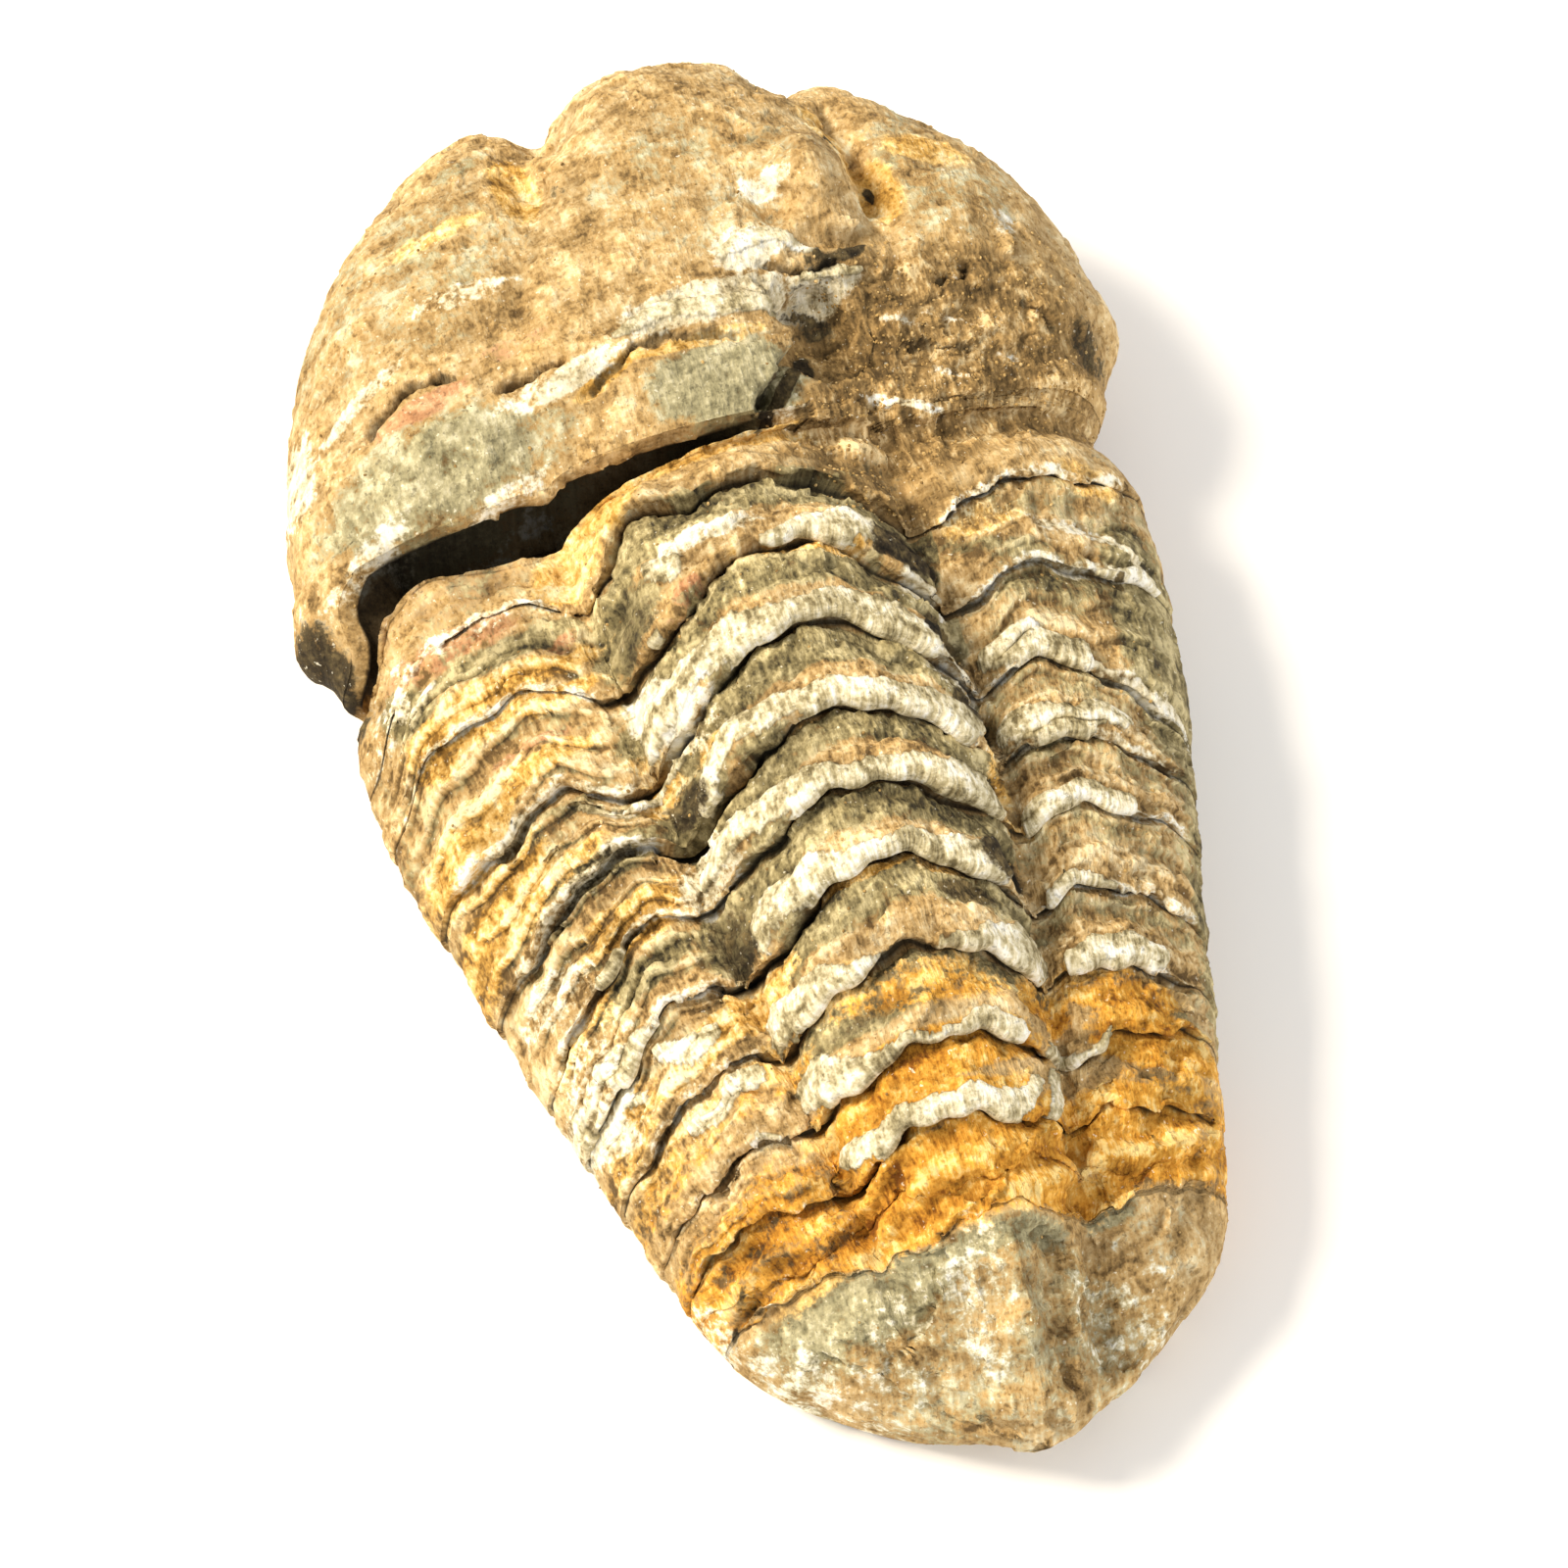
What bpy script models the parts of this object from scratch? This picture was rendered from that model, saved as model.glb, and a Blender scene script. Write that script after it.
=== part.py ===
"""A fossil trilobite, one weathered stone that lies on its flat belly.

+Y runs to the head, +X to the animal's right seen from above with the tail nearest, and +Z is up.
The stone starts as a ball whose poles become the tip of the tail and the front of the head. Its rings
become the sections across the body, crowded together along the ledges of the segments, and its meridians
run from tail to head, with about two thirds of them over the back and the rest round the belly.
All lengths below are in millimetres until the last step.
"""

import collections
import math

import bmesh
import bpy

MM = 0.001

# Driving sizes
TAIL_Y = -38.3
HEAD_Y = 39.1
HEAD_START_Y = 15.0
HEAD_RADIUS_X = 22.9
MARGIN_Z = 6.0
SEGMENT_LIP = 0.75
PLEURA_TIP = 0.009
GAP_DEPTH = 4.6

# The mesh's fineness: edges over the back, round each flank and over the belly, and rows on the tail and head
BACK_EDGES = 32
FLANK_EDGES = 3
BELLY_EDGES = 5
TAIL_ROWS = 13
HEAD_ROWS = 26

# The flanks tuck in towards the flat belly, and the two tips lift off the ground
BELLY_INSET = 0.2
TIP_POINTS = ((0.4, TAIL_Y, 4.1), (0.6, HEAD_Y, MARGIN_Z))
BELLY_END_Y = 33.0

# Plan outline of the thorax and tail: distance along the body, left half width, right half width
PLAN = (
    (-38.3, 0.0, 0.0),
    (-38.0, 1.4, 1.8),
    (-37.1, 3.0, 3.0),
    (-35.6, 5.3, 5.3),
    (-33.6, 8.2, 8.0),
    (-31.8, 11.0, 10.6),
    (-30.0, 12.4, 12.0),
    (-26.4, 13.9, 13.2),
    (-20.5, 15.7, 14.7),
    (-14.0, 17.6, 16.3),
    (-8.0, 19.0, 17.9),
    (-1.0, 20.6, 19.6),
    (5.0, 21.1, 20.4),
    (8.0, 20.8, 20.7),
    (10.5, 21.0, 20.3),
    (12.6, 22.2, 19.4),
    (15.0, 22.5, 20.9),
)

# Heights along the body: distance, back beside the axis, how far the axis stands above it, widest line
HEIGHTS = (
    (-38.3, 4.6, 0.0, 4.0),
    (-36.8, 6.8, 0.4, 4.0),
    (-34.0, 8.6, 1.2, 4.0),
    (-30.0, 10.2, 2.2, 4.2),
    (-26.0, 11.4, 3.0, 4.6),
    (-20.0, 12.8, 3.6, 5.2),
    (-13.0, 13.8, 4.0, 5.8),
    (-4.0, 14.3, 4.2, 6.0),
    (4.0, 14.2, 4.2, 6.0),
    (10.0, 13.4, 3.6, 6.0),
    (12.0, 13.6, 2.8, 6.0),
    (13.0, 14.6, 2.2, 6.0),
    (18.0, 16.9, 0.9, 6.0),
    (39.1, 16.9, 0.9, 6.0),
)

# The furrows on either side of the axis: distance along the body, left and right place
FURROWS = (
    (-38.3, -3.2, 3.2),
    (-30.0, -4.9, 4.7),
    (-25.0, -5.6, 5.3),
    (-20.5, -6.3, 5.9),
    (-14.0, -7.1, 7.0),
    (-8.0, -7.8, 7.6),
    (-1.0, -8.2, 7.9),
    (8.0, -8.7, 7.5),
    (14.0, -8.9, 8.0),
    (19.0, -8.4, 9.6),
    (23.0, -7.3, 11.0),
    (28.0, -6.0, 10.8),
    (33.0, -4.2, 9.9),
    (39.1, -2.4, 9.0),
)

# The rear lip of each ring, from the front: where it crosses the crest, how far it bends back at the furrow,
# and how far its left and right ends sweep back beyond that
RINGS = (
    (9.8, 3.2, 1.2, 0.3),
    (4.9, 3.7, 1.4, 1.6),
    (0.0, 3.5, 3.4, 4.4),
    (-5.0, 2.6, 4.4, 2.6),
    (-9.1, 2.2, 5.0, 1.8),
    (-13.1, 2.4, 4.4, 2.2),
    (-17.7, 1.5, 3.2, 1.4),
    (-22.0, 1.0, 2.2, -0.4),
    (-25.6, 0.5, 1.0, -0.3),
    (-28.1, 0.0, 0.3, -0.5),
    (-29.9, -0.4, -0.8, -1.0),
)
HEAD_EDGE = (13.4, -0.1, -0.2, -0.6)

# One segment from its front crack to its rear lip: part of the way along, height as a share of the lip
SEGMENT_PROFILE = ((0.0, -1.0), (0.1, -0.45), (0.35, 0.05), (0.6, 0.3), (0.72, 0.75), (0.94, 1.0))

# The open crack under the back edge of the head: step back from the edge, depth as a share of the crack's
GAP_PROFILE = ((0.0, 0.0), (0.1, 0.3), (-0.8, 0.5), (-0.2, 1.0), (0.6, 0.9), (0.85, 0.35), (1.0, 0.05))
GAP_FULL_X = -1.0
GAP_END_X = 5.5
GAP_WIDTH = 0.9
GAP_TURN_BACK = 4.2
GAP_WIDEST_X = -11.0
GAP_EXTRA = 1.7
GAP_EDGE_DEPTH = 2.0

# Lumps and hollows: name, place across, place along, radius across, radius along, height
LUMPS = (
    ("knob beside the glabella", 8.4, 26.4, 2.8, 2.8, 1.1),
    ("nose of the glabella", 3.4, 34.0, 4.4, 4.0, 0.8),
    ("furrow end, front left", -2.9, 37.0, 1.5, 3.0, -2.2),
    ("furrow end, front right", 9.4, 37.0, 1.3, 2.6, -1.4),
    ("left furrow", -4.9, 31.0, 1.5, 4.0, -0.7),
    ("right furrow", 11.0, 27.5, 1.3, 4.5, -0.7),
    ("hole behind the glabella", 7.2, 17.4, 2.0, 1.6, -2.4),
    ("hollow of the right matrix", 13.0, 16.5, 6.0, 2.6, -1.0),
    ("slab of the left cheek", -12.0, 17.0, 7.0, 3.4, 0.7),
    ("slab behind the glabella", 0.0, 17.0, 5.0, 2.6, 0.5),
    ("left cheek", -14.5, 25.5, 5.0, 5.0, 0.8),
    ("right cheek", 16.5, 23.5, 4.0, 5.5, 0.8),
    ("right corner of the head", 19.5, 17.0, 2.6, 3.0, 0.9),
    ("first pleura on the right", 15.0, 9.5, 5.0, 2.0, 0.7),
    ("ridge of the tail", 1.2, -34.0, 1.8, 4.6, 1.1),
    ("right side of the tail", 6.4, -33.6, 2.2, 3.0, -0.8),
    ("left side of the tail", -6.0, -33.0, 3.4, 2.2, 0.5),
)


def between(a, b, t):
    return a + (b - a) * t


def ease(start, end, value):
    """0 up to start, 1 from end on, and a smooth rise in between. It falls instead if end is the lower."""
    t = min(max((value - start) / (end - start), 0.0), 1.0)
    return t * t * (3.0 - 2.0 * t)


def table_at(table, column, place):
    """A column of one of the tables above at this place, on a curve that never overshoots its points."""
    points = [(row[0], row[column]) for row in table]
    place = min(max(place, points[0][0]), points[-1][0])
    index = 0
    while index < len(points) - 2 and place > points[index + 1][0]:
        index += 1
    slopes = [(b[1] - a[1]) / (b[0] - a[0]) for a, b in zip(points, points[1:])]

    def slope_at(point):
        if point in (0, len(points) - 1):
            return slopes[min(point, len(slopes) - 1)]
        before, after = slopes[point - 1], slopes[point]
        return 0.0 if before * after <= 0 else 2.0 * before * after / (before + after)

    (x0, y0), (x1, y1) = points[index], points[index + 1]
    width = x1 - x0
    t = (place - x0) / width
    rise = (3.0 - 2.0 * t) * t * t
    return (
        between(y0, y1, rise)
        + width * t * (1.0 - t) ** 2 * slope_at(index)
        - width * t * t * (1.0 - t) * slope_at(index + 1)
    )


def head_share(along):
    """How much of its full width the head still has, from 1 at its start to 0 at its front."""
    t = min(max((along - HEAD_START_Y) / (HEAD_Y - HEAD_START_Y), 0.0), 1.0)
    return max(1.0 - t**2.3, 0.0) ** 0.5


def half_width(along, side):
    if along > HEAD_START_Y:
        flat = 0.09 * math.exp(-(((along - 24.0) / 7.0) ** 2)) if side < 0 else 0.0
        start = table_at(PLAN, 1 if side < 0 else 2, HEAD_START_Y)
        radius = between(start, HEAD_RADIUS_X, ease(HEAD_START_Y, HEAD_START_Y + 4.0, along))
        return radius * head_share(along) * (1.0 - flat)
    return table_at(PLAN, 1 if side < 0 else 2, along)


def line_y(line, across):
    """Distance along the body of a ring's line, with across from -1 at the left edge to 1 at the right."""
    crest, bend, left_sweep, right_sweep = line
    q = abs(across)
    arch = ease(0.02, 0.42, q) - 0.6 * ease(0.42, 0.64, q)
    sweep = left_sweep if across < 0 else right_sweep
    return crest - bend * arch - sweep * ease(0.45, 1.1, q) * 1.15


def back_height(x, along, across):
    """Height of the back without its ledges: a dome from edge to edge, and the axis between its furrows."""
    base = table_at(HEIGHTS, 1, along)
    lobe = table_at(HEIGHTS, 2, along)
    edge = table_at(HEIGHTS, 3, along)
    nose = min(max((along - 18.0) / (HEAD_Y - 18.0), 0.0), 1.0)
    share = math.sqrt(max(1.0 - nose**3.0, 0.0))
    roundness = between(1.8, 2.6, ease(-34.0, -24.0, along))
    dome = math.sqrt(max(1.0 - abs(across) ** roundness, 0.0))
    left = table_at(FURROWS, 1, along)
    right = table_at(FURROWS, 2, along)
    inside = abs(2.0 * x - left - right) / (right - left)
    axis = max(1.0 - inside ** (2.0 + ease(12.0, 24.0, along)), 0.0) ** 0.62
    trench = math.exp(-(((inside - 1.04) / 0.1) ** 2)) * dome * between(0.5, 0.15, ease(12.0, 16.0, along))
    return edge + ((base - edge) * dome + lobe * axis - trench) * share


def lump_height(x, along):
    height = 0.0
    for _name, lump_x, lump_y, radius_x, radius_y, lump in LUMPS:
        distance = ((x - lump_x) / radius_x) ** 2 + ((along - lump_y) / radius_y) ** 2
        height += lump * math.exp(-distance)
    return height


# A row of points across the body: its line, its height as a share of a ledge, how far it lies behind the
# head's edge where the crack is open and where it is shut, and its depth as a share of the crack's
Row = collections.namedtuple("Row", "line ledge open_step shut_step depth", defaults=(0.0, 0.0, 0.0, 0.0))


def sections():
    """Every row from the tail to the head."""
    rows = []
    last = RINGS[-1]
    for index in range(1, TAIL_ROWS):
        turn = math.sin(0.5 * math.pi * index / TAIL_ROWS)
        crest = between(TAIL_Y, last[0] - 0.4, 1.0 - math.sqrt(1.0 - turn**2.2))
        fade = (crest - TAIL_Y) / (last[0] - TAIL_Y)
        rows.append(Row((crest, last[1] * fade, last[2] * fade, last[3] * fade)))
    fronts = (HEAD_EDGE,) + RINGS[:-1]
    for rear, front in zip(RINGS[::-1], fronts[::-1]):
        size = ease(-31.0, -24.0, rear[0]) * 0.7 + 0.3
        for part, height in SEGMENT_PROFILE[::-1]:
            line = tuple(between(a, b, part) for a, b in zip(front, rear))
            behind_gap = front is HEAD_EDGE
            if behind_gap and part == 0.0:
                continue
            step = 1.0 - part if behind_gap else 0.0
            rows.append(Row(line, height * size, step, step))
    for index, (step, depth) in reversed(list(enumerate(GAP_PROFILE))):
        rows.append(Row(HEAD_EDGE, 0.0, step, index / (len(GAP_PROFILE) - 1), depth))
    for index in range(1, HEAD_ROWS):
        turn = math.sin(0.5 * math.pi * index / HEAD_ROWS)
        crest = between(HEAD_EDGE[0], HEAD_Y, turn)
        fade = 1.0 - turn**2
        rows.append(Row((crest,) + tuple(value * fade for value in HEAD_EDGE[1:])))
    return rows


def across_places():
    """Where each meridian over the back crosses a section, from the left edge to the right, -1 to 1."""
    return [math.sin(math.pi * (index / BACK_EDGES - 0.5)) for index in range(BACK_EDGES + 1)]


def front_shift(x, along):
    """How far the head's front stands out or in from a plain arc: the glabella's nose and the cheeks."""
    nose = 1.0 * math.exp(-((abs(x - 3.5) / 4.3) ** 4))
    left = 0.6 * math.exp(-(((x + 7.5) / 3.0) ** 2)) - 1.2 * math.exp(-(((x + 2.9) / 1.3) ** 2))
    right = 0.7 * math.exp(-(((x - 13.0) / 3.0) ** 2)) - 0.5 * math.exp(-(((x - 9.3) / 1.2) ** 2))
    return (nose + left + right) * ease(26.0, 37.0, along)


def gap_width(x):
    """The crack is widest over the left side, and a hair's breadth once past the axis."""
    return GAP_WIDTH + GAP_EXTRA * math.exp(-(((x - GAP_WIDEST_X) / 6.0) ** 2))


def turn_back(crest, across):
    """At the left edge the crack and its neighbours turn towards the tail, and run down the flank."""
    return GAP_TURN_BACK * ease(0.84, 1.0, -across) * ease(-2.0, 12.5, crest) * ease(21.0, 13.5, crest)


def back_point(row, across):
    flank = ease(0.86, 1.0, abs(across))
    gap = ease(GAP_END_X, GAP_FULL_X, across * HEAD_RADIUS_X)
    folded = gap * (1.0 - ease(0.70, 0.86, abs(across)))
    step = between(row.shut_step, row.open_step, folded)
    along = line_y(row.line, across) - turn_back(row.line[0], across)
    along -= step * gap_width(across * HEAD_RADIUS_X)
    place = min(max(along, TAIL_Y + 0.01), HEAD_Y - 0.01)
    x = across * half_width(place, across) * (1.0 + PLEURA_TIP * row.ledge * flank)
    furrow = math.exp(-(((abs(across) - 0.4) / 0.07) ** 2))
    z = back_height(x, place, across)
    z += SEGMENT_LIP * row.ledge * (1.0 - 0.6 * furrow) * (1.0 - 0.75 * flank)
    tips = ease(HEAD_Y, HEAD_Y - 3.0, place) * ease(TAIL_Y, TAIL_Y + 3.0, place)
    z += lump_height(x, place) * (1.0 - flank) * tips
    lean = 0.5 * math.pi * ease(0.72, 1.0, abs(across))
    cut = row.depth * gap * between(GAP_DEPTH, GAP_EDGE_DEPTH, ease(0.72, 0.95, abs(across)))
    x -= math.copysign(cut * math.sin(lean), across)
    z -= cut * math.cos(lean)
    return x, along + front_shift(x, place), z


def flank_points(edge, middle_y, rise):
    """Down the flank from the widest line to the belly, tucking in on the way."""
    points = []
    for index in range(1, FLANK_EDGES + 1):
        t = index / FLANK_EDGES
        inset = BELLY_INSET * t**1.6
        points.append((edge[0] * (1.0 - inset), between(edge[1], middle_y, inset), between(edge[2], rise, t)))
    return points


def section_points(row):
    """The closed loop of one section: over the back from left to right, and home under the belly."""
    back = [back_point(row, across) for across in across_places()]
    middle_y = row.line[0] - row.shut_step * gap_width(0.0)
    rise = belly_height(row.line[0], min(back[0][2], back[-1][2]))
    right = flank_points(back[-1], middle_y, rise)
    left = flank_points(back[0], middle_y, rise)
    belly = []
    for index in range(1, BELLY_EDGES):
        t = index / BELLY_EDGES
        belly.append(tuple(between(a, b, t) for a, b in zip(right[-1], left[-1])))
    return back + right + belly + left[::-1]


def belly_height(crest, edge_height):
    """The belly is flat at zero, and rises to the widest line at the two tips."""
    tail = ease(-BELLY_END_Y, TAIL_Y, crest)
    head = ease(BELLY_END_Y, HEAD_Y, crest)
    return edge_height * max(tail, head) ** 1.5 * 0.96


def stone_material():
    material = bpy.data.materials.new("Weathered limestone")
    material.use_nodes = True
    shader = material.node_tree.nodes["Principled BSDF"]
    shader.inputs["Base Color"].default_value = (0.48, 0.34, 0.17, 1.0)
    shader.inputs["Roughness"].default_value = 0.88
    shader.inputs["Metallic"].default_value = 0.0
    return material


def trilobite_mesh():
    rows = sections()
    loops = [section_points(row) for row in rows]
    around = len(loops[0])
    ball = bmesh.new()
    bmesh.ops.create_uvsphere(ball, u_segments=around, v_segments=len(rows) + 1, radius=1.0)
    for vertex in ball.verts:
        ring = round((1.0 - math.acos(min(max(vertex.co.z, -1.0), 1.0)) / math.pi) * (len(rows) + 1))
        turn = math.atan2(vertex.co.y, vertex.co.x) / (2.0 * math.pi)
        place = round(turn * around) % around
        if ring in (0, len(rows) + 1):
            vertex.co = TIP_POINTS[min(ring, 1)]
        else:
            vertex.co = loops[ring - 1][place]
    bmesh.ops.recalc_face_normals(ball, faces=ball.faces)
    bmesh.ops.triangulate(ball, faces=ball.faces)
    low = [min(vertex.co[axis] for vertex in ball.verts) for axis in range(3)]
    high = [max(vertex.co[axis] for vertex in ball.verts) for axis in range(3)]
    for vertex in ball.verts:
        vertex.co.x = (vertex.co.x - (low[0] + high[0]) / 2.0) * MM
        vertex.co.y = (vertex.co.y - (low[1] + high[1]) / 2.0) * MM
        vertex.co.z = (vertex.co.z - low[2]) * MM
    mesh = bpy.data.meshes.new("trilobite")
    ball.to_mesh(mesh)
    ball.free()
    return mesh


def main():
    for old in list(bpy.data.objects):
        bpy.data.objects.remove(old, do_unlink=True)
    collection = bpy.data.collections.new("Fossil trilobite")
    bpy.context.scene.collection.children.link(collection)
    mesh = trilobite_mesh()
    mesh.materials.append(stone_material())
    stone = bpy.data.objects.new("trilobite", mesh)
    collection.objects.link(stone)


main()
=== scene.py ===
# %% [markdown]
# # A fossil trilobite in stone
#
# The object is one weathered stone: a trilobite about 78 mm long, lying on its flat belly. Its CAD
# solid has the true outline, the rings, the ribs and the open crack under the head, with wide
# facets. This lesson replaces that solid by a fine mesh of the same form and gives it what the
# real stone shows: broken ledges, a crust of white calcite along the rings, sandy rock in the
# hollows, and iron stains.
#
# The first cell loads the CAD model as a fixed frame. Everything in Blender is in metres, but a
# maker thinks of a stone this size in millimetres, so the form is worked out in millimetres and
# scaled at the end.

# %% Load the frame
import math

import bpy
import numpy as np
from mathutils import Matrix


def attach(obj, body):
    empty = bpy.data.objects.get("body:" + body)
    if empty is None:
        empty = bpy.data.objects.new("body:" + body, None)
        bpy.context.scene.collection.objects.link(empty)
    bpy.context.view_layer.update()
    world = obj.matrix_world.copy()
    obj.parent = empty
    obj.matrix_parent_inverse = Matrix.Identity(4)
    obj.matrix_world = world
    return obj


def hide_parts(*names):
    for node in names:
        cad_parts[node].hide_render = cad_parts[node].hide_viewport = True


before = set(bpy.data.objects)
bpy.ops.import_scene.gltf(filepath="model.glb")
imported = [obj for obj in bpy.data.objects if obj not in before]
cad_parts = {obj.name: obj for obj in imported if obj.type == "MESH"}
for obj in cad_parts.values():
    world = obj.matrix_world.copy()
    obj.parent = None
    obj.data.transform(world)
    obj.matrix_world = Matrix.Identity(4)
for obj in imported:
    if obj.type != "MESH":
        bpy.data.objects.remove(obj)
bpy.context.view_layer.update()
MM = 0.001

# %% [markdown]
# ## The plan of the animal
#
# A sculptor would start from three drawings: the outline seen from above, the height of the back
# along the body, and the lines where one ring ends and the next begins. The tables below are those
# drawings, read from the tail at -Y to the head at +Y. A smooth curve runs through each column, so
# a few rows describe the form.

# %% Tables of the form
TAIL_Y = -38.3
HEAD_Y = 39.1
HEAD_START_Y = 15.0
HEAD_RADIUS_X = 22.9
# The middle of the finished form, which goes to the CAD's origin
CENTRE_X, CENTRE_Y = 0.158, 0.874

# Plan outline: distance along the body, left half width, right half width
PLAN = (
    (-38.3, 0.0, 0.0), (-38.0, 1.0, 1.9), (-37.1, 2.4, 3.4), (-35.6, 4.9, 6.1), (-33.6, 8.0, 8.7),
    (-31.8, 10.8, 11.0), (-30.0, 12.4, 12.0), (-26.4, 13.9, 13.2), (-20.5, 15.7, 14.7),
    (-14.0, 17.6, 16.3), (-8.0, 19.0, 17.9), (-1.0, 20.6, 19.6), (5.0, 21.1, 20.4),
    (8.0, 20.8, 20.7), (10.5, 21.2, 20.3), (12.6, 22.4, 19.4), (15.0, 22.0, 20.9),
)

# Heights: distance along the body, back beside the axis, the axis above that, widest line
HEIGHTS = (
    (-38.3, 4.6, 0.0, 4.0), (-36.8, 6.8, 0.4, 4.0), (-34.0, 8.6, 1.2, 4.0), (-30.0, 10.2, 2.2, 4.2),
    (-26.0, 11.4, 3.0, 4.6), (-20.0, 12.8, 3.6, 5.2), (-13.0, 13.8, 4.0, 5.8),
    (-4.0, 14.3, 4.2, 6.0), (4.0, 14.2, 4.2, 6.0), (10.0, 13.4, 3.6, 6.0), (12.0, 13.6, 2.8, 6.0),
    (13.0, 14.6, 2.2, 6.0), (18.0, 16.9, 0.9, 6.0), (39.1, 16.9, 0.9, 6.0),
)

# The furrows beside the axis: distance along the body, left and right place
FURROWS = (
    (-38.3, -3.2, 3.2), (-30.0, -4.9, 4.7), (-25.0, -5.6, 5.3), (-20.5, -6.3, 5.9),
    (-14.0, -7.1, 7.0), (-8.0, -7.8, 7.6), (-1.0, -8.2, 7.9), (8.0, -8.7, 7.5), (14.0, -8.9, 8.0),
    (19.0, -8.4, 9.6), (23.0, -7.3, 11.0), (28.0, -6.0, 10.8), (33.0, -4.2, 9.9), (39.1, -2.4, 9.0),
)

# Line 0 is the back edge of the head and lines 1 to 11 are the rear lips of the rings: where each
# crosses the crest, how far it bends back at the furrow, and how far its left and right ends sweep
# back beyond that
LINES = (
    (13.4, -0.1, -0.2, -0.6), (9.8, 3.2, 1.2, 0.3), (4.9, 3.7, 1.4, 1.6), (0.0, 3.5, 3.4, 4.4),
    (-5.0, 2.6, 4.4, 2.6), (-9.1, 2.2, 5.0, 1.8), (-13.1, 2.4, 4.4, 2.2), (-17.7, 1.5, 3.2, 1.4),
    (-22.0, 1.0, 2.2, -0.4), (-25.6, 0.5, 1.0, -0.3), (-28.1, 0.0, 0.3, -0.5),
    (-29.9, -0.4, -0.8, -1.0),
)
LAST_LINE = len(LINES) - 1

# Where a line leaves that rule: line, place across (-1 to 1), spread across, shift towards the head
LINE_SHIFTS = (
    (1, -0.28, 0.10, 2.4), (3, -0.50, 0.09, -1.3), (3, -0.75, 0.15, -0.5), (1, -0.62, 0.16, 0.6),
)

# Lumps and hollows: place across, place along, radius across, radius along, height
LUMPS = (
    (8.6, 26.4, 2.0, 2.4, 2.1), (5.6, 25.2, 1.0, 2.2, -0.5), (3.4, 34.0, 4.4, 4.0, 0.8),
    (-2.9, 37.0, 1.5, 3.0, -2.2), (9.4, 37.0, 1.3, 2.6, -1.4), (-4.9, 31.0, 1.3, 4.0, -1.3),
    (11.3, 27.5, 1.0, 4.5, -1.4), (7.2, 17.4, 2.0, 1.6, -2.4), (13.0, 16.5, 6.0, 2.6, -1.0),
    (-12.0, 17.0, 7.0, 3.4, 0.7), (0.0, 17.0, 5.0, 2.6, 0.5), (-14.5, 25.5, 5.0, 5.0, 0.8),
    (16.5, 23.5, 4.0, 5.5, 0.8), (19.5, 17.0, 2.6, 3.0, 0.9), (15.0, 9.5, 5.0, 2.0, 0.7),
    (1.0, -34.0, 1.4, 4.6, 1.6), (5.4, -33.4, 2.5, 3.0, -2.0), (-6.0, -33.0, 3.4, 2.2, 0.8),
    (-2.6, -35.4, 1.6, 1.6, -0.7),
)
print("form tables:", len(PLAN), "outline rows,", len(LINES), "lines across,", len(LUMPS), "lumps")

# %% [markdown]
# ## Smooth curves through the tables
#
# A spline that overshoots would bulge between two rows of a table. This one limits its slopes, so
# it passes each point and never goes past it. It works on whole arrays at once: numpy evaluates
# the surface for a quarter of a million points in a moment, where a Python loop would take
# minutes.

# %% Curves and steps
def ease(start, end, value):
    """0 up to start, 1 from end on, and a smooth rise in between, or a fall if end is the lower."""
    t = np.clip((value - start) / (end - start), 0.0, 1.0)
    return t * t * (3.0 - 2.0 * t)


def bump(value, centre, spread, power=2):
    """1 at the centre and nothing a few spreads away, with a flatter top for a higher power."""
    return np.exp(-(np.abs((value - centre) / spread) ** power))


def table_at(table, column, place):
    """The value in a column of the table at each place, on a smooth curve through the rows."""
    places = np.array([row[0] for row in table])
    values = np.array([row[column] for row in table])
    slopes = np.diff(values) / np.diff(places)
    product = slopes[:-1] * slopes[1:]
    total = slopes[:-1] + slopes[1:]
    inner = np.where(product > 0.0, 2.0 * product / np.where(product > 0.0, total, 1.0), 0.0)
    tangent = np.concatenate([slopes[:1], inner, slopes[-1:]])
    place = np.clip(place, places[0], places[-1])
    index = np.clip(np.searchsorted(places, place, side="right") - 1, 0, len(places) - 2)
    width = places[index + 1] - places[index]
    t = (place - places[index]) / width
    rise = (3.0 - 2.0 * t) * t * t
    smooth = values[index] + (values[index + 1] - values[index]) * rise
    return smooth + width * t * (1.0 - t) * ((1.0 - t) * tangent[index] - t * tangent[index + 1])


print("half width at the middle:", round(float(table_at(PLAN, 1, 0.0)), 2), "mm on the left")

# %% [markdown]
# ## The bare back
#
# Every point of the back has two coordinates that belong to the animal. The course says which ring
# it is on: -1 at the front of the head, 0 at its back edge, 1 to 11 at the lips of the rings, and
# 12 at the tip of the tail. The place across runs from -1 at the left margin to 1 at the right.
# Working in these coordinates keeps each ledge, crack and crust on its own ring, however the ring
# bends.

# %% Where a line crosses the body
GAP_FULL_X = -1.0
GAP_END_X = 5.5


def gap_width(x):
    """Width in mm of the crack under the head, which is widest over the left side."""
    return 0.9 + 1.7 * bump(x, -11.0, 6.0) + 1.5 * ease(-16.0, -20.0, x)


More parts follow.
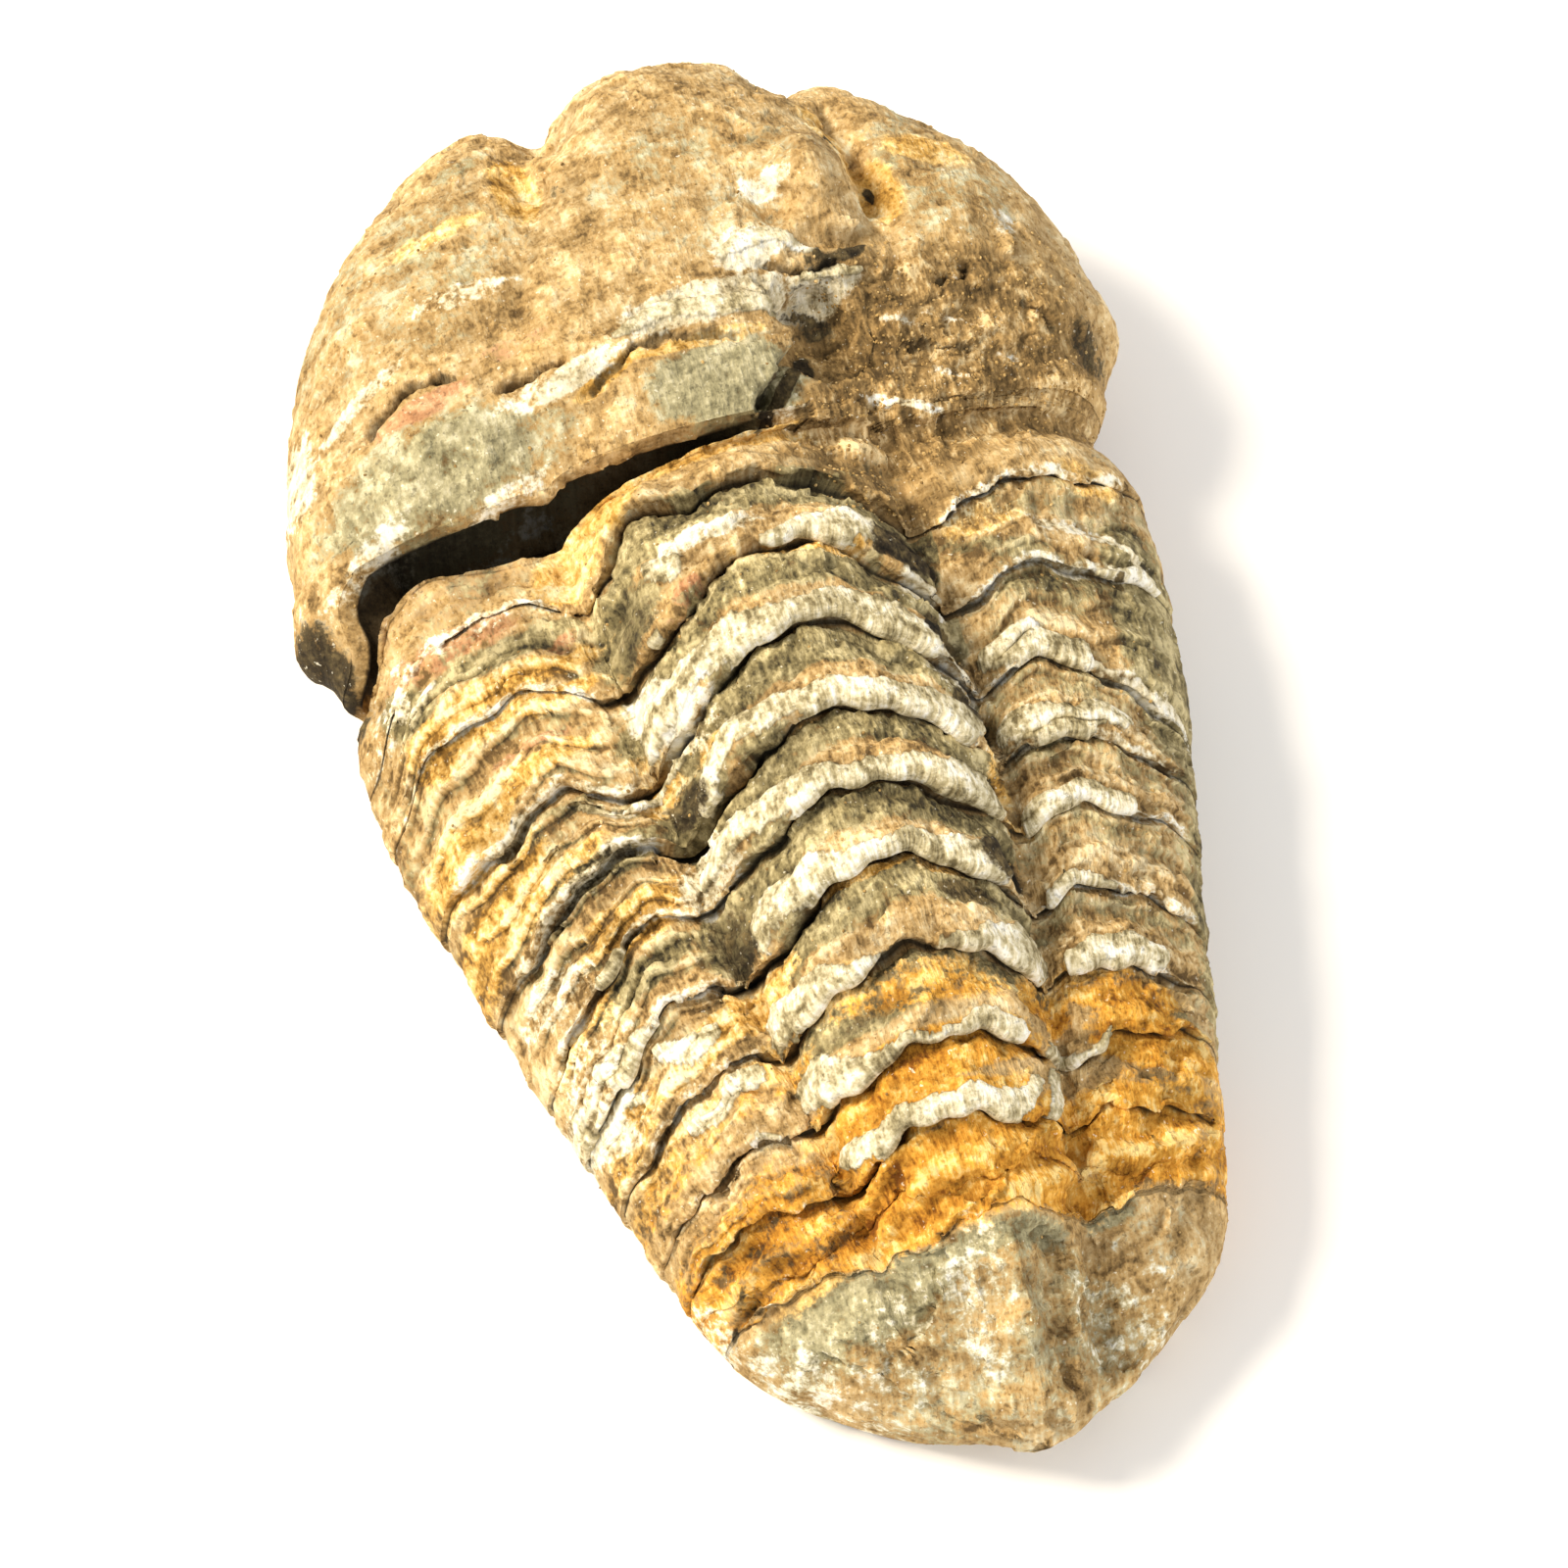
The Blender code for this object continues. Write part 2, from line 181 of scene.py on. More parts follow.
def line_at(course):
    """Crest, bend, left sweep and right sweep of the line across the body at this course."""
    head = np.clip(-course, 0.0, 1.0)
    tail = np.clip(course - LAST_LINE, 0.0, 1.0)
    numbers, columns = range(len(LINES)), np.transpose(LINES)
    crest, bend, left, right = (np.interp(course, numbers, column) for column in columns)
    crest = crest + (HEAD_Y - LINES[0][0]) * head + (TAIL_Y - LINES[-1][0]) * tail
    fade = (1.0 - head**2) * (1.0 - tail)
    return crest, bend * fade, left * fade, right * fade


def wander(course, across):
    """No broken lip is an even arc: up to 0.3 mm from the line, and 0.7 mm on the last rings."""
    x = across * HEAD_RADIUS_X
    waves = 0.16 * np.sin(1.1 * x + 2.1 * course) + 0.10 * np.sin(2.3 * x - 1.7 * course + 1.0)
    waves = waves + 0.45 * ease(7.6, 9.6, course) * np.sin(0.42 * x + 2.4 * course)
    return waves * ease(0.0, 0.5, course) * ease(11.8, 10.6, course)


print("the third ring's lip crosses the crest at", round(float(line_at(np.array(3.0))[0]), 2), "mm")

# %% Outline and height
def half_width(along, across):
    """Half the width in mm: the table's rows behind the head, and an arc from there forwards."""
    left, right = table_at(PLAN, 1, along), table_at(PLAN, 2, along)
    t = np.clip((along - HEAD_START_Y) / (HEAD_Y - HEAD_START_Y), 0.0, 1.0)
    share = np.sqrt(np.maximum(1.0 - t**2.3, 0.0))
    start = np.where(across < 0.0, table_at(PLAN, 1, HEAD_START_Y), table_at(PLAN, 2, HEAD_START_Y))
    radius = start + (HEAD_RADIUS_X - start) * ease(HEAD_START_Y, HEAD_START_Y + 4.0, along)
    flat = np.where(across < 0.0, 0.085 * bump(along, 26.0, 9.5, 4), -0.04 * bump(along, 30.0, 6.0))
    body = np.where(across < 0.0, left, right)
    return np.where(along > HEAD_START_Y, radius * share * (1.0 - flat), body)


def back_height(x, along, across):
    """A dome from edge to edge, with the lobe of the axis on it and a trench on each side."""
    base, lobe, edge = (table_at(HEIGHTS, column, along) for column in (1, 2, 3))
    nose = np.clip((along - 18.0) / (HEAD_Y - 18.0), 0.0, 1.0)
    share = np.sqrt(np.maximum(1.0 - nose**3, 0.0))
    roundness = 1.8 + 0.8 * ease(-34.0, -24.0, along)
    dome = np.sqrt(np.maximum(1.0 - np.abs(across) ** roundness, 0.0))
    left, right = table_at(FURROWS, 1, along), table_at(FURROWS, 2, along)
    inside = np.abs(2.0 * x - left - right) / (right - left)
    axis = np.maximum(1.0 - inside ** (2.0 + ease(12.0, 24.0, along)), 0.0) ** 0.62
    worn_side = np.where(across > 0.0, ease(12.0, 8.0, along), 0.0)
    trench_depth = 0.5 + 0.35 * worn_side - 0.35 * ease(12.0, 16.0, along)
    trench = bump(inside, 1.04, 0.1 + 0.05 * worn_side) * dome * trench_depth
    return edge + ((base - edge) * dome + lobe * axis - trench) * share


def front_shift(x, along):
    """The glabella's nose and the two cheeks stand out from a plain arc."""
    nose = 1.0 * bump(x, 3.5, 4.3, 4)
    left = 0.6 * bump(x, -7.5, 3.0) - 1.2 * bump(x, -2.9, 1.3)
    right = 0.7 * bump(x, 13.0, 3.0) - 0.5 * bump(x, 9.3, 1.2)
    return (nose + left + right) * ease(26.0, 37.0, along)


print("height beside the axis at the middle:", round(float(table_at(HEIGHTS, 1, 0.0)), 2), "mm")

# %% From body coordinates to a point
# In mm: how far the head's left corner sweeps back, and how deep the crack under the head goes
SPINE_SWEEP, GAP_DEPTH = 4.2, 4.6


def surface(course, across, push=0.0, step=None, shut=None, cut=0.0):
    """Points of the bare back in mm. Push moves them along it; step, shut and cut fold the gap."""
    crest, bend, left, right = line_at(course)
    crest = crest + push
    behind = np.where(course < 0.0, 0.0, np.clip(1.0 - course, 0.0, 1.0))
    step = behind if step is None else step
    shut = behind if shut is None else shut
    q = np.abs(across)
    arch = ease(0.02, 0.42, q) - 0.6 * ease(0.42, 0.64, q)
    along = crest - bend * arch - np.where(across < 0.0, left, right) * ease(0.45, 1.1, q) * 1.15
    for line, centre, spread, shift in LINE_SHIFTS:
        near = np.clip(1.0 - np.abs(course - line), 0.0, 1.0)
        along = along + shift * near * bump(across, centre, spread)
    along = along + wander(course, across) + 0.35 * ease(0.6, 2.0, course) * ease(10.5, 8.5, course)
    spine = ease(0.84, 1.0, -across)
    along = along - SPINE_SWEEP * spine * ease(-2.0, 12.5, crest) * ease(21.0, 13.5, crest)
    gap = ease(GAP_END_X, GAP_FULL_X, across * HEAD_RADIUS_X)
    folded = gap * (1.0 - 0.55 * ease(0.76, 0.98, q))
    along = along - (shut + (step - shut) * folded) * gap_width(across * HEAD_RADIUS_X)
    place = np.clip(along, TAIL_Y + 0.01, HEAD_Y - 0.01)
    x = across * half_width(place, across)
    z = back_height(x, place, across)
    tips = ease(HEAD_Y, HEAD_Y - 3.0, place) * ease(TAIL_Y, TAIL_Y + 3.0, place)
    for lump_x, lump_y, radius_x, radius_y, lump in LUMPS:
        hill = np.exp(-(((x - lump_x) / radius_x) ** 2) - ((place - lump_y) / radius_y) ** 2)
        z = z + lump * hill * (1.0 - ease(0.86, 1.0, q)) * tips
    lean = 0.5 * math.pi * ease(0.72, 1.0, q)
    deep = cut * gap * (GAP_DEPTH - 1.8 * ease(0.72, 0.95, q))
    x = x - np.sign(across) * deep * np.sin(lean)
    y, z = along + front_shift(x, place), z - deep * np.cos(lean)
    return np.stack(np.broadcast_arrays(x, y, z), axis=-1)


def outward(course, across, step=None, shut=None):
    """Which way is out of the stone, from the slopes of the bare back along and across the body."""
    along = surface(course, across, 0.15, step, shut) - surface(course, across, -0.15, step, shut)
    right, left = np.minimum(across + 0.004, 1.0), np.maximum(across - 0.004, -1.0)
    side = surface(course, right, 0.0, step, shut) - surface(course, left, 0.0, step, shut)
    normal = np.cross(side, along)
    return normal / np.maximum(np.linalg.norm(normal, axis=-1, keepdims=True), 1e-9)


print("top of the fifth ring, in mm:", np.round(surface(np.array(4.9), np.array(0.0)), 2))

# %% [markdown]
# ## The profile of one ring
#
# Each ring rises from the crack in front of it, steps up where the crust of shell begins, and ends
# in an overhanging lip above the next crack. All the rings repeat this one profile, so it is a
# short table. The lip is given by extra rows that turn under it, which is what makes a true dark
# crack and not just a groove; the deepest of these rows also get shade painted into their colour.

# %% The ring profile and the cracks
SEGMENT_LIP = 0.56
# Part of the way along a ring, and height as a share of the lip
RING_PROFILE = (
    (0.0, -1.0), (0.03, -0.92), (0.08, -0.62), (0.14, -0.36), (0.25, -0.14), (0.36, 0.02),
    (0.46, 0.12), (0.54, 0.28), (0.60, 0.58), (0.66, 0.80), (0.76, 0.92), (0.88, 1.0), (0.97, 1.02),
    (1.0, 0.98),
)
# The lip and the crack under it: height share, mm towards the tail, share of the crack's depth,
# which also sets the shade painted into the crack
LIP_ROWS = (
    (0.9, 0.04, 0.0), (0.7, 0.09, 0.0), (0.42, 0.12, 0.0), (0.1, 0.06, 0.0), (-0.25, -0.08, 0.08),
    (-0.65, -0.2, 0.3), (-1.0, -0.25, 0.8), (-1.0, -0.18, 1.0), (-1.0, -0.02, 0.5),
)
# The crack under the head, from its edge: step back, depth as a share
GAP_ROWS = (
    (0.0, 0.0), (0.02, 0.03), (0.05, 0.08), (0.06, 0.15), (0.03, 0.24), (-0.05, 0.32), (-0.4, 0.38),
    (-0.8, 0.5), (-0.6, 0.75), (-0.2, 1.0), (0.2, 1.0), (0.6, 0.9), (0.76, 0.6), (0.85, 0.35),
    (0.92, 0.15), (1.0, 0.02),
)
# Where a crack gapes: line, from and to across, width in mm, extra depth in mm
CRACKS = (
    (1, -0.38, -0.12, 0.26, 1.2), (1, -0.12, 0.10, 0.16, 0.9), (1, 0.10, 0.26, 0.08, 0.5),
    (2, -0.37, -0.10, 0.24, 1.0), (2, -0.10, 0.10, 0.18, 0.9), (2, 0.10, 0.22, 0.08, 0.5),
    (3, -0.52, -0.34, 0.22, 1.0), (3, -0.34, -0.12, 0.22, 1.1), (3, -0.12, 0.12, 0.12, 0.7),
    (4, -0.48, -0.20, 0.55, 1.5), (4, -0.20, 0.12, 0.15, 0.8), (4, -0.92, -0.52, 0.18, 0.8),
    (5, -0.36, 0.36, 0.10, 0.7), (5, -0.88, -0.60, 0.10, 0.6), (6, -0.52, -0.20, 0.28, 1.1),
    (6, -0.20, 0.12, 0.12, 0.6), (7, -0.42, 0.24, 0.10, 0.7), (8, -0.48, -0.20, 0.12, 0.6),
    (8, 0.36, 0.58, 0.16, 0.8), (9, -0.44, -0.16, 0.24, 0.9), (9, -0.16, 0.26, 0.08, 0.5),
    (6, 0.40, 0.55, 0.12, 0.6), (2, 0.36, 0.50, 0.08, 0.5),
)
# Where a ledge is worn away: line, from and to across, share of it that is left
WORN = (
    (1, -1.1, -0.44, 0.15), (2, -1.1, -0.46, 0.2), (1, 0.34, 1.1, 0.55), (9, 0.3, 1.1, 0.5),
    (10, -1.1, 1.1, 0.4), (11, -1.1, 1.1, 0.3),
    *((line, 0.42, 1.1, 0.6) for line in range(2, 9)),
    *((line, -1.1, -0.46, 0.7) for line in range(5, 9)),
)


def between(start, end, across):
    """1 from start to end across the body, with soft ends."""
    return ease(start - 0.03, start + 0.03, across) * ease(end + 0.03, end - 0.03, across)


def crack_at(line, across):
    """Width and depth in mm of the crack behind this line."""
    width, depth = np.full(np.shape(line + across), 0.03), np.full(np.shape(line + across), 0.3)
    for number, start, end, wide, deep in CRACKS:
        here = (np.abs(line - number) < 0.5) * between(start, end, across)
        width, depth = np.maximum(width, wide * here), np.maximum(depth, deep * here)
    uneven = 0.75 + 0.25 * np.sin(31.0 * across + 5.0 * line) * np.sin(17.0 * across + 2.0)
    flank = ease(0.80, 0.95, np.abs(across))
    return width * uneven * (1.0 - flank), depth * uneven * (1.0 - 0.8 * flank)


print(len(LIP_ROWS), "rows turn under each lip, and", len(CRACKS), "stretches of crack gape")

# %% [markdown]
# ## Layers and ridges on the rings
#
# The ribs beside the axis are not smooth: thin layers of shell and rock have flaked off one behind
# another, and on the last rings soft ridges slant across. They could be carved by hand, but both
# repeat along the body, so a saw wave and a cosine of the body coordinates draw them, and slow
# sines keep them from looking ruled.

# %% Layers and ridges
LAYER_HEIGHT, LAYERS_PER_RING = 0.42, 3.0
RIDGE_HEIGHT, RIDGE_SPACING = 0.28, 2.1


def ribs_at(course, across):
    """1 on the ribs beside the axis, and less on the right, which is more worn."""
    q = np.abs(across)
    ringed = ease(1.0, 1.4, course) * ease(LAST_LINE - 0.5, LAST_LINE - 1.2, course)
    sides = ease(0.42, 0.52, q) * ease(1.0, 0.93, q) * np.where(across < 0.0, 1.0, 0.6)
    return ringed * sides * (1.0 - 0.5 * ease(5.0, 7.5, course))


def layers_at(course, across):
    """Thin layers broken off one behind the other: 0 behind each edge, rising to 1 at the next."""
    sway = 0.5 * np.sin(4.0 * across + 1.7 * np.floor(course))
    sway = sway + 0.07 * np.sin(13.0 * across + 2.9 * course)
    shiver = 0.05 * np.sin(29.0 * across - 4.1 * course)
    return np.mod(LAYERS_PER_RING * course + sway + shiver, 1.0)


def ridges_at(course, x, along):
    """Rounded ridges that slant across the last rings: -1 to 1, and 0 elsewhere."""
    zone = ease(8.9, 9.4, course) * ease(LAST_LINE, LAST_LINE - 0.4, course)
    return zone * np.cos((along - 0.25 * x + 0.3 * np.sin(0.8 * x)) * math.tau / RIDGE_SPACING)


def ledge_height(share, course, across):
    """How far a row stands out from the bare back, in mm."""
    size = 0.3 + 0.7 * ease(-31.0, -24.0, line_at(course)[0])
    q = np.abs(across)
    phase = np.mod(np.clip(course, 0.0, LAST_LINE), 1.0)
    rib = ease(0.45, 0.54, q) * ease(1.0, 0.8, q) * np.where(across < 0.0, 1.0, 0.45)
    groove = bump(phase, 0.42, 0.11) * 0.6 * rib * (course > 0.0) * (course < LAST_LINE)
    uneven = 1.0 + 0.18 * np.sin(0.9 * across * HEAD_RADIUS_X + 4.0 * np.floor(course))
    kept = 1.0
    for line, start, end, left in WORN:
        near = ease(0.55, 0.25, np.abs(course - line))
        kept = kept * (1.0 - (1.0 - left) * near * between(start, end, across))
    share = share * uneven * (1.0 - np.where(across > 0.0, 0.8, 0.55) * bump(q, 0.4, 0.06)) * kept
    layer = LAYER_HEIGHT * (layers_at(course, across) - 0.5) * ribs_at(course, across)
    return SEGMENT_LIP * (share - groove) * (1.0 - 0.75 * ease(0.86, 1.0, q)) * size + layer


def profile_share(course):
    """Height as a share of the lip, from the ring's profile, and 0 off the rings."""
    inside = (course > 0.0) & (course < LAST_LINE)
    return np.where(inside, np.interp(np.mod(course, 1.0), *zip(*RING_PROFILE)), 0.0)


print("a lip stands", SEGMENT_LIP, "mm proud, and a layer", LAYER_HEIGHT, "mm")

# %% [markdown]
# ## One grid from tail to head
#
# The stone's skin is a grid like the lines of longitude and latitude on a globe, drawn out long:
# its rows go round the body, and they meet at two poles, the tip of the tail and the front of the
# head. Rows and columns are spaced evenly by the length of surface between them, about a seventh
# of a millimetre, because broken stone has detail everywhere. A remesh would do that too, but it
# would lose the sharp lips.

# %% Rows and columns
BACK_COLUMNS, FLANK_ROWS, BELLY_COLUMNS = 330, 14, 6
HEAD_ROWS, TAIL_ROWS, RING_STEP = 222, 74, 0.15


def row(course, share=0.0, back=0.0, under=0.0, crack=0.0, step=None, shut=None, cut=0.0):
    """One row of the grid: the lip, crack or fold of the gap it is on, and how far in it lies."""
    behind = max(1.0 - course, 0.0) if course >= 0.0 else 0.0
    step, shut = (behind if value is None else value for value in (step, shut))
    lip = under > 0.0 or back != 0.0
    folds = dict(step=step, shut=shut, cut=cut, lip=lip)
    return dict(course=course, share=share, back=back, under=under, crack=crack, **folds)


def even(start, end, count, along):
    """Places from start to end with the same length of surface between them."""
    dense = np.linspace(start, end, 3000)
    points = along(dense)
    length = np.concatenate([[0.0], np.cumsum(np.linalg.norm(np.diff(points, axis=0), axis=1))])
    return np.interp(np.linspace(0.0, length[-1], count), length, dense)


# Where the spacing is measured: the middle ring, and a little beside the crest of tail and head
MID_BODY, TAIL_SIDE, HEAD_SIDE = 5.5, 0.15, 0.2
across = even(-1.0, 1.0, BACK_COLUMNS, lambda q: surface(np.full_like(q, MID_BODY), q))
tail_places = even(
    12.0, LAST_LINE + 0.02, TAIL_ROWS + 1, lambda c: surface(c, np.full_like(c, TAIL_SIDE))
)[1:]
rows = [row(course) for course in tail_places]
for ring in range(LAST_LINE - 1, -1, -1):
    for number, (share, back, crack) in reversed(list(enumerate(LIP_ROWS))):
        rows.append(row(ring + 1.0 - 1e-6, share, back, 0.012 * number, crack))
    count = int((LINES[ring][0] - LINES[ring + 1][0]) / RING_STEP)
    for course in ring + np.linspace(1.0, 0.0, count + 1)[1:-1]:
        rows.append(row(course, float(profile_share(course))))
for number, (step, cut) in reversed(list(enumerate(GAP_ROWS))):
    rows.append(row(0.0, step=step, shut=number / (len(GAP_ROWS) - 1), cut=cut))
head_places = even(
    0.0, -1.0, HEAD_ROWS + 2, lambda c: surface(c, np.full_like(c, HEAD_SIDE))
)[1:-1]
rows += [row(course) for course in head_places]
table = {name: np.array([one[name] for one in rows], float)[:, None] for name in rows[0]}
print(len(rows), "rows by", BACK_COLUMNS + 2 * FLANK_ROWS + BELLY_COLUMNS - 1, "columns")

# %% [markdown]
# ## Breaks on the head and the tail
#
# The head is a slab that has split into layers. Where an upper layer ends, the eye sees a thin
# dark line with the lower layer behind it, and along each break with a deep slot that line of
# shadow is also painted into the colour. Each break is a short line of points on the plan; behind
# it the surface drops and then climbs back. Small round pits in the furrow on the right are where
# grains have fallen out.

# %% Breaks and pits
# Points on the plan, drop behind the line, depth of the slot, how far the drop reaches, all in mm
BREAKS = (
    ((
        (-17.4, 19.3), (-16.2, 19.8), (-14.9, 20.6), (-13.7, 21.0), (-12.3, 20.6), (-11.1, 20.1),
    ), 0.4, 0.5, 1.6),
    (((-10.3, 18.4), (-8.6, 18.8), (-7.3, 18.8), (-6.3, 19.0)), 0.35, 1.2, 1.0),
    ((
        (-6.6, 16.2), (-5.5, 16.6), (-4.1, 17.5), (-3.0, 18.3), (-1.6, 18.3), (1.4, 17.6),
        (3.0, 16.9),
    ), 0.3, 0.35, 1.4),
    (((-9.3, 28.2), (-8.1, 28.3), (-7.0, 27.9)), 0.35, 0.2, 1.2),
    (((15.0, 19.8), (14.5, 18.9), (12.8, 18.9)), 0.4, 0.4, 1.0),
    (((10.1, 16.4), (12.8, 16.2), (14.3, 15.9)), 0.3, 0.4, 1.2),
    (((16.8, 17.8), (18.3, 17.0), (18.6, 16.2)), 0.4, 0.4, 1.0),
    (((1.6, 13.3), (3.1, 14.6), (4.9, 16.7), (5.3, 17.2), (4.6, 17.8), (3.7, 18.3)), 2.2, 1.3, 2.4),
    (((4.3, 21.6), (5.6, 20.9), (7.4, 20.6), (9.0, 20.9)), 0.35, 0.5, 1.2),
    ((
        (3.4, -30.4), (3.3, -31.6), (2.8, -33.0), (2.9, -34.6), (2.5, -36.2), (2.3, -37.4),
    ), 0.9, 0.1, 4.5),
    (((-11.9, -30.0), (-12.0, -29.0), (-11.4, -28.4)), 0.2, 0.8, 0.6),
    (((-3.0, -30.6), (-3.4, -32.4), (-5.0, -33.6), (-6.6, -34.2)), 0.5, 0.1, 2.6),
    (((-9.4, -31.4), (-7.4, -33.2), (-4.6, -35.6), (-2.0, -37.0)), 0.6, 0.1, 2.0),
)
# Place across, place along, radius across, radius along, depth
PITS = (
    (6.4, 24.4, 1.0, 0.7, 0.5), (7.4, -0.8, 0.6, 1.1, 1.2), (7.6, -4.7, 0.55, 1.0, 1.3),
    (6.9, -9.6, 0.6, 0.9, 1.1), (6.3, -13.4, 0.8, 1.1, 1.0), (15.9, 3.6, 0.3, 0.3, 0.4),
    (12.2, -5.1, 0.3, 0.3, 0.4), (9.3, 22.0, 1.1, 0.5, 0.9), (7.3, 22.2, 1.0, 0.7, 0.4),
    (3.6, 29.5, 0.8, 0.6, 0.3), (5.9, 29.6, 0.9, 0.6, 0.3), (11.0, 31.6, 0.35, 1.3, 0.5),
    (11.4, 27.8, 0.3, 0.8, 0.5), (11.1, 25.0, 0.4, 1.0, 0.5), (-4.6, 30.6, 0.5, 1.0, 0.3),
    (6.7, 18.4, 1.1, 1.0, 1.3), (5.6, 10.4, 1.4, 0.9, 0.4), (-10.4, -29.6, 0.4, 0.4, 0.3),
    (7.0, 27.8, 0.8, 1.2, 0.35), (5.9, 24.8, 0.7, 1.4, 0.35), (-7.9, 1.8, 0.7, 0.9, 0.3),
)


print(len(BREAKS), "breaks and", len(PITS), "pits")

# %% Depth of the breaks and pits
def beside(points, x, y):
    """Distance in mm to a line of points, above 0 on the tail's side, and 0 to 1 along it."""
    best, side, along = np.full(x.shape, 1e9), np.ones(x.shape), np.zeros(x.shape)
    for number, ((x0, y0), (x1, y1)) in enumerate(zip(points, points[1:])):
        length = math.hypot(x1 - x0, y1 - y0)
        t = np.clip(((x - x0) * (x1 - x0) + (y - y0) * (y1 - y0)) / length**2, 0.0, 1.0)
        distance = np.hypot(x - x0 - t * (x1 - x0), y - y0 - t * (y1 - y0))
        cross = (x1 - x0) * (y - y0) - (y1 - y0) * (x - x0)
        closer = distance < best
        best = np.where(closer, distance, best)
        side = np.where(closer, -np.sign(cross), side)
        along = np.where(closer, (number + t) / (len(points) - 1), along)
    return best * side, along


def broken(x, y):
    """How deep the breaks and pits go, in mm, and the painted shadow of a break, 1 on its line."""
    depth, line = np.zeros(x.shape), np.zeros(x.shape)
    jag = 0.09 * np.sin(3.1 * x + 1.0 * y) + 0.05 * np.sin(7.3 * y - 3.1 * x)
    jag = jag + 0.03 * np.sin(12.7 * x + 9.1 * y)
    for points, drop, slot, reach in BREAKS:
        distance, along = beside(points, x, y)
        distance = distance + jag
        ends = ease(0.0, 0.12, along) * ease(1.0, 0.88, along)
        climb = np.exp(-np.maximum(distance, 0.0) / reach)
        depth += ends * drop * ease(-0.08, 0.08, distance) * climb
        depth += ends * slot * bump(distance, 0.14, 0.16)
        near = np.clip(1.0 - np.abs(distance - 0.1), 0.0, 1.0)
        line = np.maximum(line, ends * (slot > 0.2) * near)
    for pit_x, pit_y, radius_x, radius_y, pit in PITS:
        ring = ((x - pit_x) / radius_x) ** 2 + ((y - pit_y) / radius_y) ** 2
        depth += pit * np.exp(-(ring**2))
    return depth, line


hollow_depth = broken(*np.array([[6.7], [18.4]]))[0][0]
print("the hollow right of the slab is", round(float(hollow_depth), 2), "mm deep")

# %% [markdown]
# ## The skin, point by point
#
# Each row is worked out on the bare back, then raised or sunk along the back's own outward
# direction: up for the lips, down for cracks, breaks and pits. Below the widest line the skin runs
# down to the belly in a plain tuck, because the real stone is flat and rough there and only its
# lower edge shows.

# %% Points of the skin
TIP_TAIL, TIP_HEAD = (0.4, TAIL_Y, 4.1), (0.6, HEAD_Y, 6.0)


def back_points():
    """Points, outward directions, and nearness to a break and depth in a crack for painted shade.
    """
    names = ("course", "share", "crack", "cut", "step", "shut")
    course, share, crack, cut, step, shut = (table[name] for name in names)
    q = across[None, :]
    flank = ease(0.84, 1.0, np.abs(q))
    phase = np.mod(course, 1.0)
    shallow = 1.0 - 0.8 * ease(9.4, 9.8, course)
    crack_width, crack_depth = crack_at(np.round(course), q)
    wide_behind = crack_width * (share <= 0.0) * (crack > 0.2) * (course > 0.5)
    closing = np.clip(1.0 - phase / 0.3, 0.0, 1.0)
    wide_front = crack_at(np.floor(course), q)[0] * closing * (course >= 1.0)
    back = table["back"] * (1.0 - flank) + table["under"] * flank
    back = back * shallow
    back = back + np.where(table["lip"] > 0.0, wide_behind * ease(0.9, 0.5, crack), wide_front)
    depth = crack_depth * crack * (course > 0.5) * shallow
    points = surface(course, q, -back, step, shut, cut)
    normal = outward(course, q, step, shut)
    height = ledge_height(share, course, q) * (cut == 0.0) - depth
    ridges = ridges_at(course, points[..., 0], points[..., 1])
    height = height + RIDGE_HEIGHT * ridges * (1.0 - flank)
    hollow, line = broken(points[..., 0], points[..., 1])
    calm = (1.0 - flank) * (course < 12.0) * (cut < 0.05)
    # Painted shade: the deep rows of each crack and the gap's floor under the head are marked dark
    gap = ease(GAP_END_X - 1.5, GAP_FULL_X, points[..., 0]) * (cut > 0.25)
    dark = np.maximum(np.broadcast_to(crack, gap.shape), gap)
    return points + normal * (height - hollow * calm)[..., None], normal, line * calm, dark


points, back_normals, break_shadow, crack_shade = back_points()
crest = line_at(table["course"])[0][:, 0] - table["shut"][:, 0] * gap_width(0.0)
middle = np.maximum.accumulate(crest + 0.004 * np.arange(len(crest)))
edge = np.minimum(points[:, 0, 2], points[:, -1, 2])
# The belly curls up to the two poles
lift = np.maximum(ease(-33.0, TAIL_Y, crest), ease(33.0, HEAD_Y, crest)) ** 1.5 * 0.96
floor_z = edge * lift


def down_flank(edge_points):
    """From the widest line to the belly, tucking in on the way."""
    levels = []
    for t in np.arange(1, FLANK_ROWS + 1) / FLANK_ROWS:
        inset = 0.2 * t**1.6
        x, y, z = edge_points.T
        level = [x * (1.0 - inset), y + (middle - y) * inset, z + (floor_z - z) * t]
        levels.append(np.stack(level, axis=-1))
    return np.stack(levels, axis=1)


right, left = down_flank(points[:, -1]), down_flank(points[:, 0])
t = (np.arange(1, BELLY_COLUMNS) / BELLY_COLUMNS)[None, :, None]
belly = right[:, -1:] * (1.0 - t) + left[:, -1:] * t
skin = np.concatenate([points, right, belly, left[:, ::-1]], axis=1)
columns = skin.shape[1]
print("skin:", len(rows), "rows by", columns, "columns,", round(skin[..., 2].max(), 2), "mm high")
